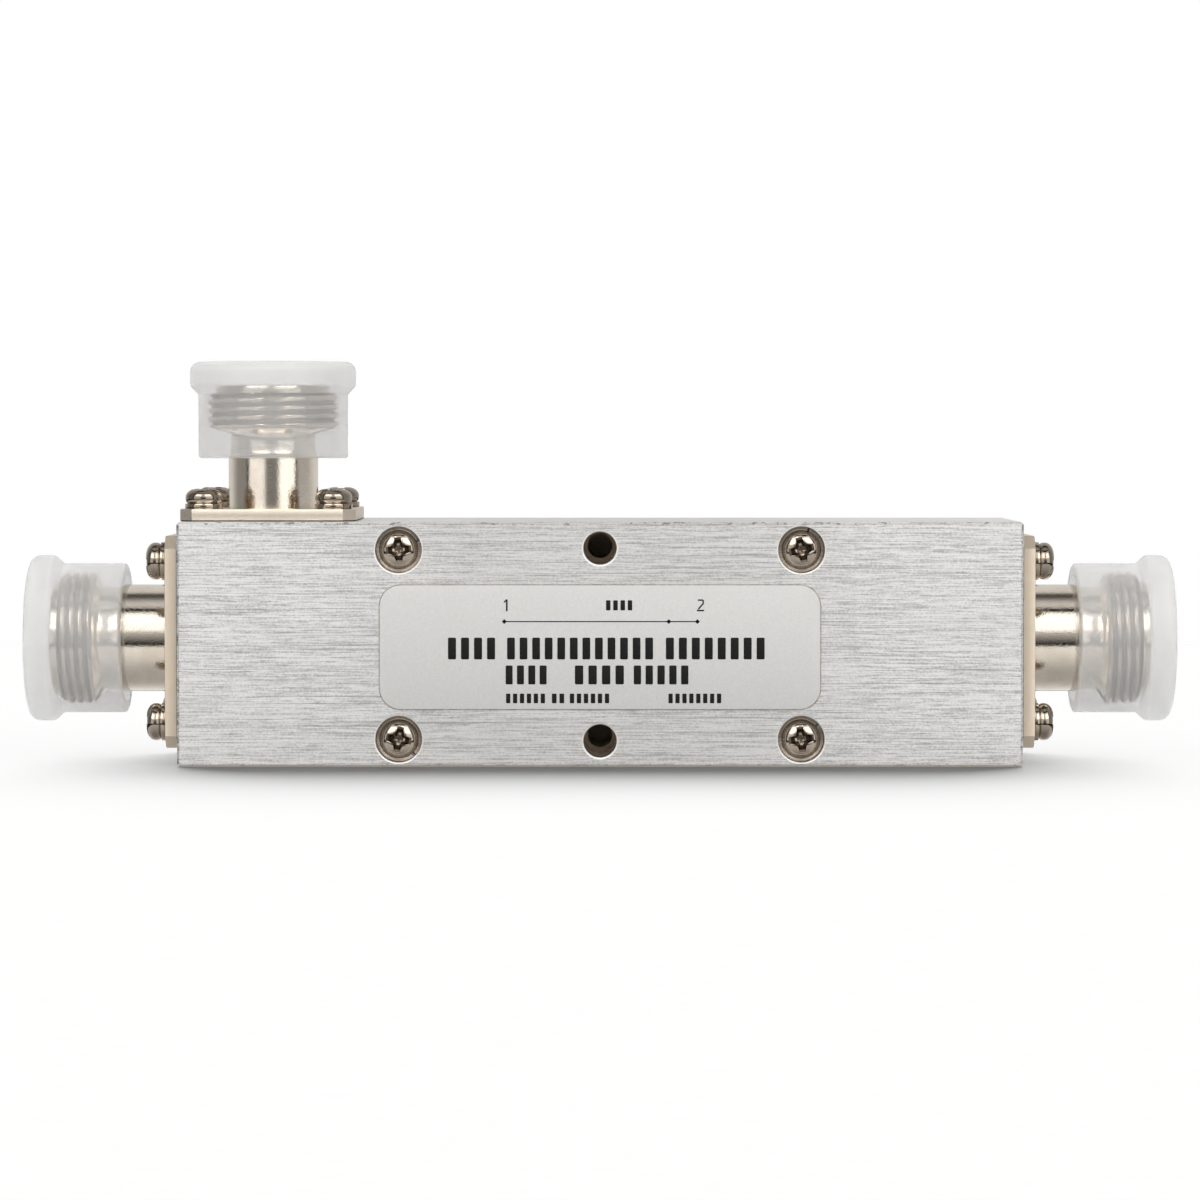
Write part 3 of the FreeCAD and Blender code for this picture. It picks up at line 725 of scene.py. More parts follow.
def rounded_profile(corners: list, steps: int) -> list:
    """Rounds the corners of an open profile.

    Args:
        corners: Radius, height and rounding of each corner.
        steps: Pieces in each rounded corner.

    Returns:
        Radius and height of each point.
    """
    result = []
    for index, (radius, height, rounding) in enumerate(corners):
        if rounding == 0:
            result.append((radius, height))
            continue
        tip = Vector((radius, height))
        back = (Vector(corners[index - 1][:2]) - tip).normalized()
        ahead = (Vector(corners[index + 1][:2]) - tip).normalized()
        half = back.angle(ahead) / 2
        tangent = rounding / math.tan(half)
        centre = tip + (back + ahead).normalized() * (rounding / math.sin(half))
        start = tip + back * tangent - centre
        end = tip + ahead * tangent - centre
        turn = start.angle(end)
        for share in (step / steps for step in range(steps + 1)):
            swept = start * math.sin((1 - share) * turn) + end * math.sin(share * turn)
            result.append(tuple(centre + swept / math.sin(turn)))
    return result


def turned(profile: list, count: int, bore_r: float) -> Draft:
    """A turned solid whose profile starts and ends on the axis.

    Args:
        profile: Radius and height of each point, from the bore to the outside.
        count: Points around.
        bore_r: Until the profile leaves this radius, its faces are material slot 1.

    Returns:
        The drawn solid.
    """
    draft = Draft()
    rows = [draft.add_points(ring(radius, height, count)) for radius, height in profile[1:-1]]
    draft.fan(rows[0], (0.0, 0.0, profile[0][1]), 1)
    in_bore = True
    for first, second, (radius, _) in zip(rows, rows[1:], profile[2:]):
        in_bore = in_bore and radius < bore_r
        draft.strip(first, second, int(in_bore))
    draft.fan(rows[-1], (0.0, 0.0, profile[-1][1]))
    return draft


def plate_outline(width: float, height: float, corner_r: float, inset: float, steps: int = 8) -> list:
    """The outline of a rounded rectangle.

    Args:
        width: Size along X.
        height: Size along Y.
        corner_r: Radius of its corners.
        inset: How far it is drawn in.
        steps: Pieces in each corner.

    Returns:
        X and Y of each point.
    """
    radius = max(corner_r - inset, 0.001)
    points = []
    for turn, (side_x, side_y) in enumerate(((1, 1), (-1, 1), (-1, -1), (1, -1))):
        for step in range(steps + 1):
            x, y, _ = polar(radius, math.pi / 2 * (turn + step / steps))
            points.append((side_x * (width / 2 - corner_r) + x, side_y * (height / 2 - corner_r) + y))
    return points


def rounded_plate(width: float, height: float, corner_r: float, thickness: float, edge: float) -> Draft:
    """A thin plate on z = 0 with rounded corners and a softened upper edge.

    Args:
        width: Size along X.
        height: Size along Y.
        corner_r: Radius of its corners.
        thickness: Size along Z.
        edge: Rounding of the upper edge.

    Returns:
        The drawn plate. Its rim is material slot 1.
    """
    draft = Draft()
    drop = min(edge, 0.6 * thickness)
    rows = []
    for inset, level in ((0.0, 0.0), (0.0, thickness - drop),
                         (ROUND_SHARE * edge, thickness - ROUND_SHARE * drop), (edge, thickness)):
        outline = plate_outline(width, height, corner_r, inset)
        rows.append(draft.add_points([(px, py, level) for px, py in outline]))
    draft.loft(rows, 1)
    draft.add_face(rows[0], 1)
    draft.add_face(rows[-1], 0)
    return draft


# Fasteners


@dataclass(frozen=True)
class PanScrew:
    """A pan-head screw with a cross recess, standing on z = 0."""

    head_d: float
    head_height: float
    shank_d: float
    length: float
    crown_power: float = 2.86
    crown_drop: float = 0.63
    span: float = 2.95
    arm: float = 0.76
    end_steps: int = 3
    flare: float = 1.2
    flare_steps: int = 7
    depth: float = 1.2
    floor_share: float = 0.5
    floor_end_share: float = 0.7
    floor_dip: float = 0.05
    lip: float = 0.1
    lip_edge: tuple = (0.35, 0.2)
    tip_share: float = 0.15
    # Radius and height of the head's side, as shares of the head's radius and of its last height
    side: tuple = ((0.88, 0.0), (0.955, 0.16), (0.99, 0.35), (1.0, 0.55), (0.99, 0.74), (0.967, 0.89),
                   (0.93, 1.0))
    crown_steps: tuple = (0.12, 0.25, 0.4, 0.55, 0.75, 1.0)
    recess_steps: tuple = (0.3, 0.6, 0.85)

    def angles(self) -> list:
        """The recess as seen from above.

        Returns:
            Angle and recess radius of each point around, arm by arm.
        """
        half_span = self.span / 2
        half_arm = self.arm / 2
        quarter = []
        for step in range(-self.end_steps, self.end_steps + 1):
            angle = math.atan2(half_arm * step / self.end_steps, half_span)
            quarter.append((angle, half_span / math.cos(angle)))
        flank = []
        for share in (step / self.flare_steps for step in range(1, self.flare_steps + 1)):
            along = half_span + (self.flare / 2 - half_span) * share
            aside = half_arm + (self.flare / 2 - half_arm) * share ** 2
            flank.append((math.atan2(aside, along), math.hypot(aside, along)))
        quarter += flank + [(math.pi / 2 - angle, radius) for angle, radius in reversed(flank[:-1])]
        return [(angle + turn * math.pi / 2, radius) for turn in range(4) for angle, radius in quarter]

    def dome(self, radius: float) -> float:
        """Height of the head's crown at a radius."""
        share = radius / (self.head_d / 2)
        return self.head_height * (1 - self.crown_drop * share ** self.crown_power)

    def row(self, draft: Draft, reach: object, level: object) -> list:
        """Adds a row whose radius follows from the recess radius, and its height from its radius."""
        reached = [(angle, reach(recess)) for angle, recess in self.angles()]
        return draft.add_points([polar(radius, angle, level(radius)) for angle, radius in reached])

    def draw(self) -> Draft:
        """Draws shank, head and recess as one closed surface.

        Returns:
            The drawn screw. The inside of its recess is material slot 1.
        """
        draft = Draft()
        head_r = self.head_d / 2
        shank_r = self.shank_d / 2
        tip = self.tip_share * self.shank_d
        flank_r = self.side[-1][0] * head_r
        rim = self.dome(flank_r)
        lip = self.lip
        outside = [(shank_r - tip, -self.length), (shank_r, -self.length + tip), (shank_r, 0.0)]
        outside += [(share * head_r, height * rim) for share, height in self.side]
        rows = [self.row(draft, lambda _, r=r: r, lambda _, z=z: z) for r, z in outside]
        for share in self.crown_steps:
            rows.append(self.row(draft, lambda c, s=share: flank_r + (c + lip - flank_r) * s, self.dome))
        out, down = (share * lip for share in self.lip_edge)
        rows.append(self.row(draft, lambda c: c + out, lambda r: self.dome(r) - down))
        rows.append(self.row(draft, lambda c: c, lambda r: self.dome(r) - lip))
        rim_rows = len(rows)
        for share in self.recess_steps:
            inward = 1 - share * (1 - self.floor_share)
            level = self.dome(0.0) - lip - share * (self.depth - lip)
            rows.append(self.row(draft, lambda c, k=inward: c * k, lambda _, z=level: z))
        foot = self.head_height - self.depth
        floor = self.row(draft, lambda c: c * self.floor_share * self.floor_end_share, lambda _: foot)
        draft.fan(rows[0], (0.0, 0.0, -self.length))
        draft.loft(rows[:rim_rows])
        # The recess walls and the middle of its floor are slot 1, which takes a painted shade
        draft.loft(rows[rim_rows - 1:], 1)
        draft.strip(rows[-1], floor)
        draft.fan(floor, (0.0, 0.0, foot - self.floor_dip), 1)
        return draft


@dataclass(frozen=True)
class SpringWasher:
    """A split ring with rounded edges, standing on z = 0."""

    outer_d: float
    hole_d: float
    thickness: float
    slit: float = 0.35
    slit_slope_deg: float = 25.0
    edge: float = 0.1
    edge_share: float = 0.4
    count: int = 72

    def draw(self) -> Draft:
        """Draws the ring with its sloping slit.

        Returns:
            The drawn washer.
        """
        outer = self.outer_d / 2
        inner = self.hole_d / 2
        edge = min(self.edge, self.edge_share * self.thickness)
        top = self.thickness
        rim = [(outer - inset, level) for inset, level in soft_edges(edge, top)]
        section = [(inner, 0.0), *rim, (inner, top)]
        middle = (inner + outer) / 2
        gap = self.slit / middle
        slope = math.tan(math.radians(self.slit_slope_deg)) / middle
        draft = Draft()
        rows = []
        for step in range(self.count + 1):
            base = gap / 2 + (2 * math.pi - gap) * step / self.count
            rows.append(draft.add_points([polar(radius, base + slope * (level - top / 2), level)
                                          for radius, level in section]))
        draft.loft(rows)
        draft.add_face(rows[0])
        draft.add_face(reversed(rows[-1]))
        return draft


# Connectors


@dataclass
class CoaxialPort:
    """One coaxial port: shell with its thread, flange screws, washers, inner pieces and dust cap."""

    name: str
    origin: tuple
    direction: Direction
    nickel: Finish
    milled: Finish
    threaded: Finish
    finishes: Finishes
    flange_side: float = 25.4
    flange_thickness: float = 1.55
    flange_corner: float = 1.5
    flange_edge: float = 0.15
    screw_spacing: float = 19.3
    screw_length: float = 5.8
    screw_hole_r: float = 1.4
    screw_hole_edge: float = 0.08
    screw_hole_count: int = 40
    screw_turns: tuple = (11.0, -8.0, 27.0, 3.0)
    washer_thickness: float = 0.62
    barrel_d: float = 13.0
    barrel_end: float = 7.5
    neck_d: float = 12.4
    thread_start: float = 10.9
    thread_d: float = 15.875
    pitch: float = 1.058
    thread_depth: float = 0.5
    thread_turns: int = 4
    rows_per_turn: int = 14
    crest_reach: float = 0.43
    flank_width: float = 0.24
    flank_ease: float = 0.35
    run_in: float = 1.4
    run_out: float = 1.1
    # Points deeper than this share of the thread's depth below its crest get the painted shade of the root
    root_shade_share: float = 0.8
    pilot_d: float = 13.8
    pilot_length: float = 0.97
    socket_bore_d: float = 8.1
    # Points of the shell's profile near a corner, each by its steps in radius and in distance
    barrel_edge: tuple = ((0.0, 0.0), (-0.04, 0.06))
    neck_start: tuple = ((0.05, 0.4), (0.0, 0.5))
    neck_end: tuple = ((0.0, -0.8), (0.06, -0.66))
    pilot_start: tuple = ((0.0, 0.02),)
    pilot_edge: tuple = ((0.0, -0.32), (-0.08, -0.1), (-0.3, 0.0))
    socket_edge: tuple = ((0.3, 0.0), (0.08, -0.1), (0.0, -0.3))
    insulator_d: float = 10.2
    insulator_length: float = 7.0
    seal_section: float = 0.7
    seal_offset: float = 1.0
    seal_play: float = 0.1
    cap_seat: float = 7.3
    cap_length: float = 11.7
    cap_r: float = 9.1
    cap_play: float = 0.06
    cap_top: float = 1.3
    mouth_r: float = 7.45
    mouth_height: float = 1.2
    grip_r: float = 10.1
    grip_length: float = 4.0
    grip_slope: float = 1.1
    # Rounding of each corner of the cap's profile, from the axis inside to the axis outside
    cap_rounding: tuple = (0.0, 0.5, 0.15, 0.1, 0.2, 0.35, 0.5, 0.9, 1.2, 0.0)
    cap_steps: int = 6
    bore_margin: float = 0.02
    count: int = 160

    def lay(self, x: float = 0.0, y: float = 0.0, z: float = 0.0, turn_deg: float = 0.0) -> Matrix:
        """Where a piece drawn along Z goes: across the flange, away from the body's face, and turned."""
        laid = Matrix.Translation(self.origin) @ self.direction.aim()
        return laid @ Matrix.Translation((x, y, z)) @ spin(turn_deg)

    def screw_places(self) -> list:
        """The four screw centres on the flange."""
        half = self.screw_spacing / 2
        return [(x, y) for y in (-half, half) for x in (-half, half)]

    def flange_outline(self, inset: float) -> list:
        """The flange's corners.

        Args:
            inset: How far the outline is drawn in.

        Returns:
            X and Y of the eight corners.
        """
        half = self.flange_side / 2 - inset
        inner = self.flange_side / 2 - self.flange_corner - inset * (math.sqrt(2) - 1)
        return [(-half, -inner), (-inner, -half), (inner, -half), (half, -inner),
                (half, inner), (inner, half), (-inner, half), (-half, inner)]

    def thread_end(self) -> float:
        """Where the thread ends, as a distance from the body's face."""
        return self.thread_start + self.thread_turns * self.pitch

    def thread_radius(self, z: float, share: float) -> float:
        """Radius of the helical thread.

        Args:
            z: Distance from the body's face.
            share: Share of a turn around the axis.

        Returns:
            The radius there, which runs out at both ends of the thread.
        """
        root = self.thread_d / 2 - self.thread_depth
        away = abs(((z - self.thread_start) / self.pitch - share) % 1.0 - 0.5) * self.pitch
        rise = min(max((self.crest_reach - away) / self.flank_width, 0.0), 1.0)
        rise = rise * rise * (3 - 2 * rise) * self.flank_ease + rise * (1 - self.flank_ease)
        return min(root + self.thread_depth * rise, root + self.run_in * (z - self.thread_start) + 0.001,
                   root + self.run_out * (self.thread_end() - z) + 0.001)

    def thread_rows(self, draft: Draft) -> list:
        """Draws the helical thread's points.

        Args:
            draft: The shell's drawing.

        Returns:
            The rows of point numbers, from the body outwards.
        """
        shares = [spoke / self.count for spoke in range(self.count)]
        rows = []
        for step in range(self.thread_turns * self.rows_per_turn + 1):
            z = self.thread_start + step * self.pitch / self.rows_per_turn
            rows.append(draft.add_points([polar(self.thread_radius(z, share), 2 * math.pi * share, z)
                                          for share in shares]))
        return rows

    def thread_slot(self, point: tuple) -> ShellPart:
        """Painted shade down in the thread's root, and the thread's lighter painted shade above it."""
        root = self.thread_d / 2 - self.root_shade_share * self.thread_depth
        return ShellPart.THREAD_ROOT_SHADE if math.hypot(*point[:2]) < root else ShellPart.THREAD

    def shell(self) -> None:
        """Builds the outer conductor with flange, barrel, thread and pilot, in place of its CAD node."""
        draft = Draft()
        barrel = self.barrel_d / 2
        neck = self.neck_d / 2
        bore = self.insulator_d / 2
        pilot = self.pilot_d / 2
        socket = self.socket_bore_d / 2
        end = self.thread_end() + self.pilot_length
        middle = barrel + self.seal_offset
        half = self.seal_section / 2 + self.seal_play
        before = [(barrel, self.flange_thickness), *corner(barrel, self.barrel_end, self.barrel_edge),
                  *corner(neck, self.barrel_end, self.neck_start),
                  *corner(neck, self.thread_start, self.neck_end)]
        after = [*corner(pilot, self.thread_end(), self.pilot_start), *corner(pilot, end, self.pilot_edge),
                 *corner(socket, end, self.socket_edge),
                 (socket, self.insulator_length), (bore, self.insulator_length), (bore, 0.0),
                 (middle - half, 0.0), (middle - half, self.seal_section),
                 (middle + half, self.seal_section), (middle + half, 0.0)]
        lower = [draft.add_points(ring(r, z, self.count)) for r, z in before]
        thread = self.thread_rows(draft)
        upper = [draft.add_points(ring(r, z, self.count)) for r, z in after]
        draft.loft(lower + thread[:1], ShellPart.BARREL)
        draft.loft(thread + upper[:1], self.thread_slot)
        draft.loft(upper, ShellPart.BARREL)
        self.flange(draft, lower[0], upper[-1])
        made = draft.piece(self.name + "_shell_threaded", "nickel_plate",
                           [self.nickel, self.milled, self.finishes.seam, self.threaded,
                            self.finishes.plate_face, self.finishes.thread_root_painted_shade], [self.lay()],
                           sharp_deg=30.0)
        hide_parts(self.name + "_connector_shell")

    def flange(self, draft: Draft, top_ring: list, foot_ring: list) -> None:
        """Draws the square flange around the barrel.

        Args:
            draft: The shell's drawing.
            top_ring: Where the barrel meets the flange.
            foot_ring: The outer edge of the seal's groove.
        """
        top = self.flange_thickness
        rows = [draft.add_points([(x, y, level) for x, y in self.flange_outline(inset)])
                for inset, level in soft_edges(self.flange_edge, top)]
        # Painted shadow on the rounded edge that meets the body
        draft.loft(rows[:3], ShellPart.GAP_SHADOW)
        draft.loft(rows[2:], ShellPart.FLANGE_EDGE)
        top_loops = [rows[-1], top_ring]
        foot_loops = [rows[0], foot_ring]
        inner = self.screw_hole_r
        chamfer = self.screw_hole_edge
        levels = ((inner + chamfer, 0.0), (inner, chamfer), (inner, top - chamfer), (inner + chamfer, top))
        circles = [ring(radius, level, self.screw_hole_count) for radius, level in levels]
        for x, y in self.screw_places():
            hole = [draft.add_points([(x + px, y + py, pz) for px, py, pz in circle]) for circle in circles]
            draft.loft(hole, ShellPart.FLANGE_EDGE)
            foot_loops.append(hole[0])
            top_loops.append(hole[-1])
        draft.sheet(top_loops, ShellPart.FLANGE_FACE)
        draft.sheet(foot_loops, ShellPart.FLANGE_FACE)

    def cap(self) -> None:
        """Builds the frosted dust cap, a cup with a rounded grip rim, in place of its CAD node."""
        seat = self.cap_seat
        end = seat + self.cap_length
        rim = end - self.grip_length
        bore = self.thread_d / 2 + self.cap_play
        places = [(0.0, end - self.cap_top), (bore, end - self.cap_top),
                  (bore, seat + self.mouth_height), (self.mouth_r, seat + self.mouth_height),
                  (self.mouth_r, seat), (self.cap_r, seat), (self.cap_r, rim),
                  (self.grip_r, rim + self.grip_slope), (self.grip_r, end), (0.0, end)]
        corners = [(*place, rounding) for place, rounding in zip(places, self.cap_rounding)]
        profile = rounded_profile(corners, self.cap_steps)
        cup = turned(profile, self.count, bore + self.bore_margin)
        made = cup.piece(self.name + "_cap_frosted", "cap_plastic",
                         [self.finishes.plastic, self.finishes.cap_bore], [self.lay()], sharp_deg=50.0)
        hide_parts(self.name + "_dust_cap")

    def fasteners(self) -> None:
        """Builds the four flange screws and their spring washers, in place of their CAD nodes."""
        screw = PanScrew(head_d=4.45, head_height=1.8, shank_d=2.5, length=self.screw_length,
                         crown_power=4.6, crown_drop=0.45).draw()
        washer = SpringWasher(outer_d=4.55, hole_d=2.8, thickness=self.washer_thickness).draw()
        top = self.flange_thickness
        turns = list(zip(self.screw_places(), self.screw_turns))
        seats = [self.lay(*place, top + self.washer_thickness, turn) for place, turn in turns]
        made = screw.piece(self.name + "_cross_screws", "screw_steel",
                           [self.finishes.flange_screw, self.finishes.recess], seats)
        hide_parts(self.name + "_flange_screws")
        seats = [self.lay(*place, top, 3 * turn) for place, turn in turns]
        made = washer.piece(self.name + "_split_washers", "screw_steel", [self.finishes.washer], seats)
        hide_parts(self.name + "_flange_washers")

    def build(self) -> None:
        """Builds the port and dresses what stays from the CAD."""
        self.shell()
        self.cap()
        self.fasteners()
        dress_node(self.name + "_insulator", self.finishes.fluoroplastic)
        dress_node(self.name + "_centre_contact", self.finishes.gold)
        dress_node(self.name + "_flange_seal", self.finishes.rubber)


def dress_node(name: str, finish: Finish) -> None:
    """Gives a CAD node its finish.

    Args:
        name: The node.
        finish: The finish for its whole surface.
    """
    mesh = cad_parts[name].data
    mesh.materials.clear()
    mesh.materials.append(finish.material())
    log.info("%s: carried over as %s", name, finish.name)


# Body and label


@dataclass
class LabelPrint:
    """Generic print on the label: port numbers, a line between them and bars where words stand."""

    surface: float = -14.1
    thickness: float = 0.012
    edge: float = 0.003
    corner_share: float = 0.16
    bold_cell: float = 1.5
    small_cell: float = 0.85
    cell_share: float = 0.62
    # Height, size upwards and cell width of each row, with the left and right end of each word
    rows: tuple = (
        (14.15, 2.6, bold_cell, ((-18.4, -12.2), (-11.35, 6.6), (7.55, 19.9))),
        (11.0, 2.26, bold_cell, ((-11.5, -6.1), (-3.3, 3.15), (3.75, 10.8))),
        (8.2, 1.15, small_cell, ((-11.35, -6.4), (-5.9, -4.1), (-3.75, 1.25), (8.0, 14.6))),
        (19.3, 1.2, small_cell, ((0.55, 4.0),)),
    )
    number_z: float = 19.3
    # Where each number stands, with the offset, size and turn in degrees of each of its strokes
    digits: tuple = (
        (-11.1, ((0.0, 0.0, 0.2, 1.4, 0.0), (-0.17, 0.52, 0.16, 0.48, -42.0))),
        (11.96, ((0.0, 0.62, 0.62, 0.18, 0.0), (0.32, 0.38, 0.18, 0.5, 0.0),
                 (0.02, -0.14, 0.18, 0.86, -40.0), (0.0, -0.62, 0.86, 0.18, 0.0))),
    )
    line_z: float = 17.36
    line_middle: float = 0.1
    line_size: tuple = (23.2, 0.13)
    marks: tuple = (-11.4, 8.2, 11.6)
    mark_size: float = 0.42

    def patch(self, sheet: Draft, x: float, z: float, width: float, height: float,
              turn_deg: float = 0.0) -> None:
        """Adds one inked rectangle.

        Args:
            sheet: The print's drawing.
            x: Its middle along the body.
            z: Its middle height.
            width: Its size along the body.
            height: Its size upwards.
            turn_deg: Its turn in the label's plane.
        """
        corner_r = min(width, height) * self.corner_share
        block = rounded_plate(width, height, corner_r, self.thickness, self.edge)
        sheet.merge(block, on_front(x, self.surface, z, turn_deg))

    def words(self, sheet: Draft) -> None:
        """Adds rows of plain blocks where lines of words stand.

        Args:
            sheet: The print's drawing.
        """
        for z, height, cell, ends in self.rows:
            for left, right in ends:
                count = max(1, round((right - left) / cell))
                step = (right - left) / count
                for index in range(count):
                    self.patch(sheet, left + (index + 0.5) * step, z, step * self.cell_share, height)

    def build(self, finishes: Finishes) -> None:
        """Builds all of the print as one thin piece.

        Args:
            finishes: Every finish of the coupler.
        """
        sheet = Draft()
        self.words(sheet)
        for x, strokes in self.digits:
            for shift_x, shift_z, width, height, turn_deg in strokes:
                self.patch(sheet, x + shift_x, self.number_z + shift_z, width, height, turn_deg)
        self.patch(sheet, self.line_middle, self.line_z, *self.line_size)
        for x in self.marks:
            self.patch(sheet, x, self.line_z, self.mark_size, self.mark_size, turn_deg=45.0)
        sheet.piece("label_print", "label_foil", [finishes.ink, finishes.ink], [Matrix()])


@dataclass
class BodyAssembly:
    """Housing, lid, label, lid screws and their washers."""

    finishes: Finishes
    front: float = -14.0
    height: float = 29.2
    screw_spacing: float = 48.0
    screw_edge: float = 3.3
    screw_turns: tuple = (4.0, 13.0, -10.0, 7.0)
    washer_floor: float = -12.2
    washer_thickness: float = 0.4
    label_size: tuple = (52.7, 15.0)
    label_corner_r: float = 2.6
    label_z: float = 14.3
    label_thickness: float = 0.1
    label_edge: float = 0.13

    def lid_fasteners(self) -> None:
        """Builds the four lid screws and their spring washers, in place of their CAD nodes."""
        screw = PanScrew(head_d=4.7, head_height=1.6, shank_d=2.5, length=8.0).draw()
        washer = SpringWasher(outer_d=5.5, hole_d=2.8, thickness=self.washer_thickness).draw()
        floor = self.washer_floor
        half = self.screw_spacing / 2
        places = [(x, z) for z in (self.height - self.screw_edge, self.screw_edge) for x in (-half, half)]
        turns = list(zip(places, self.screw_turns))
        seats = [on_front(x, floor - self.washer_thickness, z, turn) for (x, z), turn in turns]
        made = screw.piece("lid_cross_screws", "screw_steel",
                           [self.finishes.screw, self.finishes.recess], seats)
        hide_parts("lid_screws")
        seats = [on_front(x, floor, z, 5 * turn) for (x, z), turn in turns]
        made = washer.piece("lid_split_washers", "screw_steel", [self.finishes.washer], seats)
        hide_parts("lid_washers")

    def label(self) -> None:
        """Builds the foil label with a dark rim and its print, in place of its CAD node."""
        plate = rounded_plate(*self.label_size, self.label_corner_r, self.label_thickness, self.label_edge)
        made = plate.piece("foil_label", "label_foil", [self.finishes.foil, self.finishes.foil_rim],
                           [on_front(0.0, self.front, self.label_z)])
        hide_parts("label")
        LabelPrint().build(self.finishes)

    def build(self) -> None:
        """Builds the body's pieces and dresses what stays from the CAD."""
        dress_node("housing", self.finishes.aluminium)
        dress_node("lid", self.finishes.aluminium)
        dress_node("lid_seal", self.finishes.rubber)
        self.lid_fasteners()
        self.label()


@dataclass
class InnerLines:
    """The strip lines, their supports and the load, inside the cavity."""

    finishes: Finishes

    def build(self) -> None:
        """Dresses the inner pieces, which stay from the CAD."""
        dress_node("main_line", self.finishes.silver)
        dress_node("coupled_line", self.finishes.silver)
        dress_node("line_supports", self.finishes.fluoroplastic)
        dress_node("load_flange", self.finishes.load_plate)
        dress_node("load_resistor", self.finishes.ceramic)
        dress_node("load_screws", self.finishes.screw)


# Studio


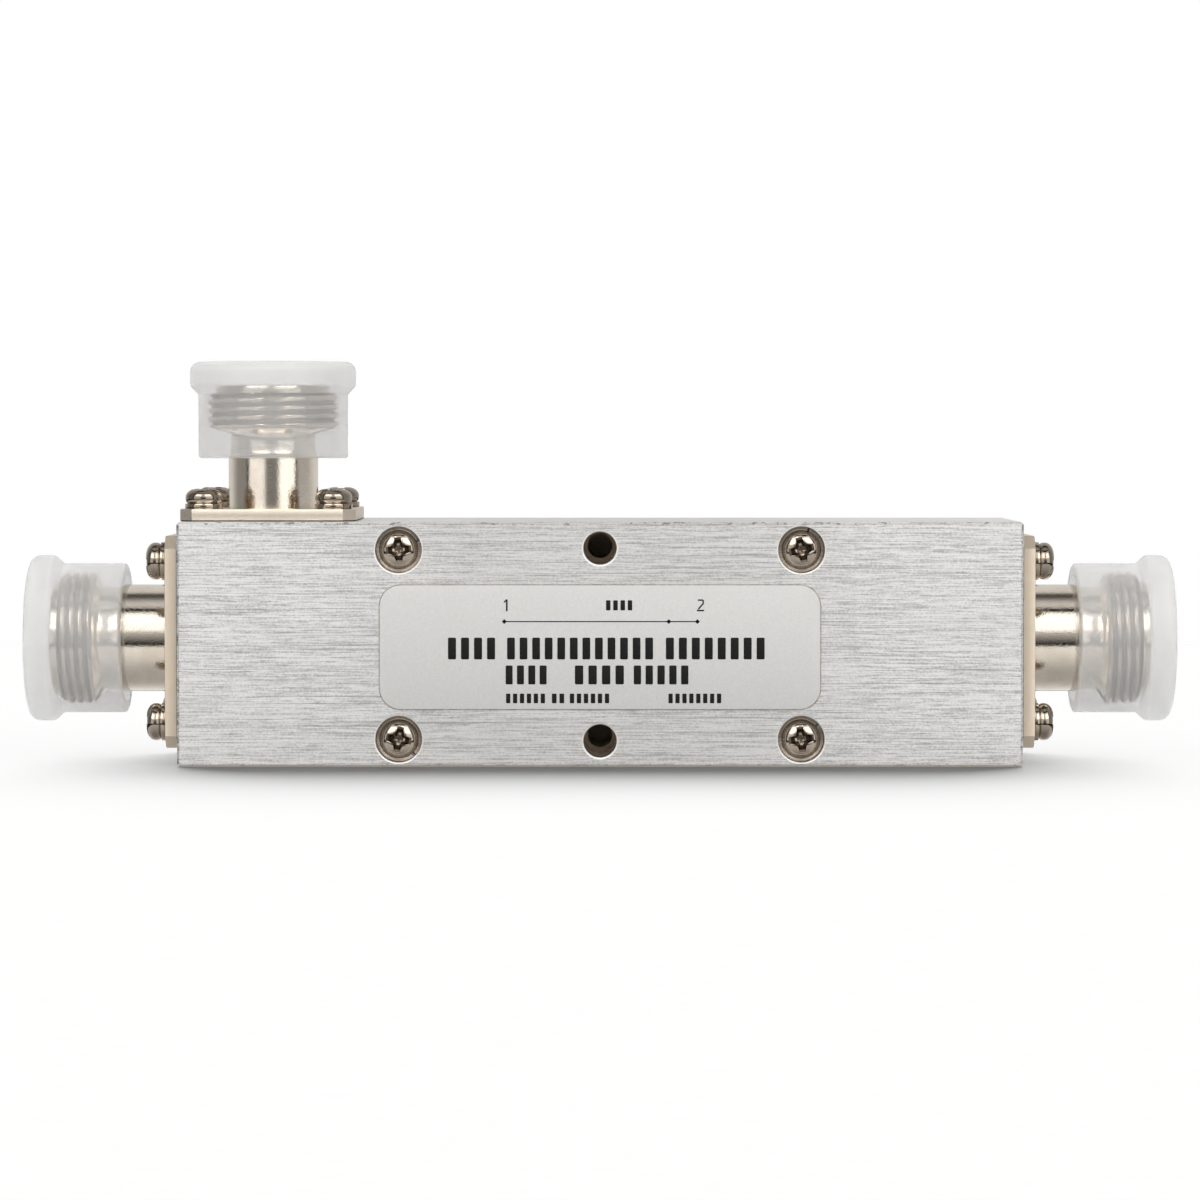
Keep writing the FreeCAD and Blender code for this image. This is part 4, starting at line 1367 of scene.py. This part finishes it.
@dataclass
class Studio:
    """Floor, soft light and camera. The panels' edges are angles in degrees."""

    camera_at: tuple = (0.0, -0.549, 0.040)
    camera_aim: tuple = (0.0, -0.014, 0.01993)
    lens_mm: float = 134.9
    sensor_mm: float = 36.0
    floor_half_width: float = 0.24
    floor_front: float = -0.36
    floor_back: float = 0.30
    floor_drop: float = 0.00002
    floor_grey: float = 0.16
    # Strength of each lamp, then its spread and its height in degrees
    floor_light: tuple = (19.9, 60.0, 52.0)
    top_light: tuple = (1.25, 90.0, 70.0)
    side_levels: tuple = (0.26, 0.44)
    side_reach: tuple = (-0.3, 0.3)
    back_level: float = 0.70
    back_turn: tuple = (95.0, 140.0)
    roof_level: float = 0.46
    # What follows on the roof towards the back: each a level and the pitch in which it fades in
    roof_parts: tuple = ((0.64, (68.0, 78.0)), (0.08, (79.0, 104.0)), (0.55, (108.0, 120.0)))
    roof_rise: tuple = (52.0, 66.0)
    frame_level: float = 0.012
    frame_edge: tuple = (69.0, 67.0)
    screen_levels: tuple = (1.06, 1.36)
    screen_reach: tuple = (-0.5, 0.5)
    screen_turn: tuple = (63.0, 60.0)
    screen_rise: tuple = (60.0, 57.0)
    high_level: float = 3.8
    high_turns: tuple = ((9.0, 12.0), (56.0, 52.0))
    high_rises: tuple = ((17.0, 21.0), (52.0, 47.0))
    hole_levels: tuple = (0.06, 0.46)
    hole_middle: float = 2.5
    hole_reach: tuple = (20.0, 14.5)
    hole_fade: tuple = (1.4, 0.4)
    hole_rise: tuple = (-8.0, 10.0)
    ground_levels: tuple = (0.42, 0.88)
    ground_rise: tuple = (-80.0, -17.0)
    ground_edge: tuple = (-15.0, -18.0)
    line_rises: tuple = ((-17.0, -15.0), (-6.0, -9.0))
    tint: tuple = (1.0, 0.985, 0.96)

    def camera(self) -> None:
        """Sets the camera at the photograph's angle."""
        data = bpy.data.cameras.new("camera")
        data.lens = self.lens_mm
        data.sensor_width = self.sensor_mm
        data.clip_start = 0.01
        made = bpy.data.objects.new("camera", data)
        made.location = self.camera_at
        sight = Vector(self.camera_aim) - Vector(self.camera_at)
        made.rotation_euler = sight.to_track_quat("-Z", "Y").to_euler()
        bpy.context.scene.collection.objects.link(made)
        bpy.context.scene.camera = made

    def floor(self) -> None:
        """Lays the plain pale floor."""
        half = self.floor_half_width
        front = self.floor_front
        back = self.floor_back
        mesh = bpy.data.meshes.new("floor")
        corners = [(-half, front, 0), (half, front, 0), (half, back, 0), (-half, back, 0)]
        mesh.from_pydata(corners, [], [(0, 1, 2, 3)])
        grey = self.floor_grey
        paper = MatteSurface("floor_paper", (grey,) * 3, (0.99 * grey,) * 3, roughness=0.9, speckle=400.0,
                             relief_depth=0.001, specular=0.0)
        mesh.materials.append(paper.material())
        made = bpy.data.objects.new("floor", mesh)
        made.location.z = -self.floor_drop
        made.visible_glossy = False
        bpy.context.scene.collection.objects.link(made)

    def sun(self, name: str, strength: float, spread_deg: float, height_deg: float) -> bpy.types.Object:
        """A wide soft light from behind, which metal doesn't mirror.

        Args:
            name: The light's name.
            strength: Its strength.
            spread_deg: How wide it is in the sky.
            height_deg: How high it stands.

        Returns:
            The light.
        """
        data = bpy.data.lights.new(name, "SUN")
        data.energy = strength
        data.angle = math.radians(spread_deg)
        made = bpy.data.objects.new(name, data)
        made.rotation_euler = (math.radians(height_deg - 90.0), 0.0, 0.0)
        made.visible_glossy = False
        bpy.context.scene.collection.objects.link(made)
        return made

    def lights(self) -> None:
        """One light for the floor alone, whose shadow falls forward, and one for the coupler."""
        on_floor = self.sun("floor_light", *self.floor_light)
        lit_floor = bpy.data.collections.new("lit_by_floor_light")
        lit_floor.objects.link(bpy.data.objects["floor"])
        on_floor.light_linking.receiver_collection = lit_floor
        shading = bpy.data.collections.new("shades_the_floor")
        for name in ("housing", "lid"):
            shading.objects.link(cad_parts[name])
        on_floor.light_linking.blocker_collection = shading
        self.sun("top_light", *self.top_light)

    def panels(self, graph: NodeGraph) -> Socket:
        """Lays the soft panels over one another.

        Args:
            graph: The world's graph.

        Returns:
            How bright the surround is in each direction.
        """
        x, y, z = graph.parts(graph.node("ShaderNodeTexCoord").outputs["Generated"])
        ahead = graph.times(y, -1.0)
        turn = graph.off(graph.math("DEGREES", graph.math("ARCTAN2", x, ahead)))
        rise = graph.math("DEGREES", graph.math("ARCSINE", z))
        pitch = graph.math("DEGREES", graph.math("ARCTAN2", z, ahead))
        roof = self.roof_level
        for value, edge in self.roof_parts:
            roof = graph.over(roof, graph.span(pitch, *edge), value)
        screen = graph.span(x, *self.screen_reach, *self.screen_levels)
        hole = graph.span(rise, *self.hole_rise, *self.hole_levels, smooth=False)
        ground = graph.span(rise, *self.ground_rise, *self.ground_levels)
        offsets = (turn, graph.off(rise, self.hole_middle))
        shares = [graph.math("DIVIDE", offset, reach) for offset, reach in zip(offsets, self.hole_reach)]
        away = graph.plus(*(graph.times(share, share) for share in shares))
        level = graph.span(x, *self.side_reach, *self.side_levels)
        for value, *edges in (
                (self.back_level, (turn, self.back_turn)),
                (roof, (rise, self.roof_rise)),
                (self.frame_level, (turn, self.frame_edge), (rise, self.frame_edge)),
                (screen, (turn, self.screen_turn), (rise, self.screen_rise)),
                (self.high_level, *((turn, edge) for edge in self.high_turns),
                 *((rise, edge) for edge in self.high_rises)),
                (hole, (away, self.hole_fade)),
                (ground, (rise, self.ground_edge)),
                (self.frame_level, *((rise, edge) for edge in self.line_rises))):
            mask = graph.times(*(graph.span(angle, *edge) for angle, edge in edges))
            level = graph.over(level, mask, value)
        return level

    def surround(self) -> None:
        """White behind the object, and soft panels for the metal to mirror."""
        world = bpy.data.worlds.new("surround")
        bpy.context.scene.world = world
        world.use_nodes = True
        graph = NodeGraph(world.node_tree)
        lit = graph.node("ShaderNodeBackground", {"Color": self.tint, "Strength": self.panels(graph)})
        seen = graph.node("ShaderNodeBackground", {"Color": (1.0, 1.0, 1.0), "Strength": 1.0})
        from_camera = graph.node("ShaderNodeLightPath").outputs["Is Camera Ray"]
        mix = graph.node("ShaderNodeMixShader", {0: from_camera, 1: lit.outputs[0], 2: seen.outputs[0]})
        graph.node("ShaderNodeOutputWorld", {"Surface": mix.outputs[0]})

    def build(self) -> None:
        """Sets up the whole studio."""
        bpy.context.scene.view_settings.view_transform = "Standard"
        self.camera()
        self.floor()
        self.lights()
        self.surround()
        log.info("studio: camera, floor, lights and surround")


def main() -> None:
    """Builds the coupler and its studio in order."""
    logging.basicConfig(level=logging.INFO, format="%(name)s %(message)s")
    finishes = Finishes()
    Studio().build()
    BodyAssembly(finishes).build()
    InnerLines(finishes).build()
    along = (finishes.nickel_x, finishes.milled_side, finishes.thread_shade_x, finishes)
    upright = (finishes.nickel_z, finishes.milled_top, finishes.thread_shade_z, finishes)
    CoaxialPort("input", (-50.45, 0.0, 14.8), Direction.LEFT, *along).build()
    CoaxialPort("output", (50.45, 0.0, 14.8), Direction.RIGHT, *along).build()
    CoaxialPort("coupled", (-39.85, 0.0, 29.2), Direction.UP, *upright, flange_side=21.1,
                flange_thickness=1.5, screw_spacing=15.6, screw_length=4.9, barrel_d=10.9, barrel_end=7.7,
                neck_d=10.3, thread_start=11.2, insulator_d=8.4, cap_seat=7.55).build()


if __name__ == "__main__":
    main()
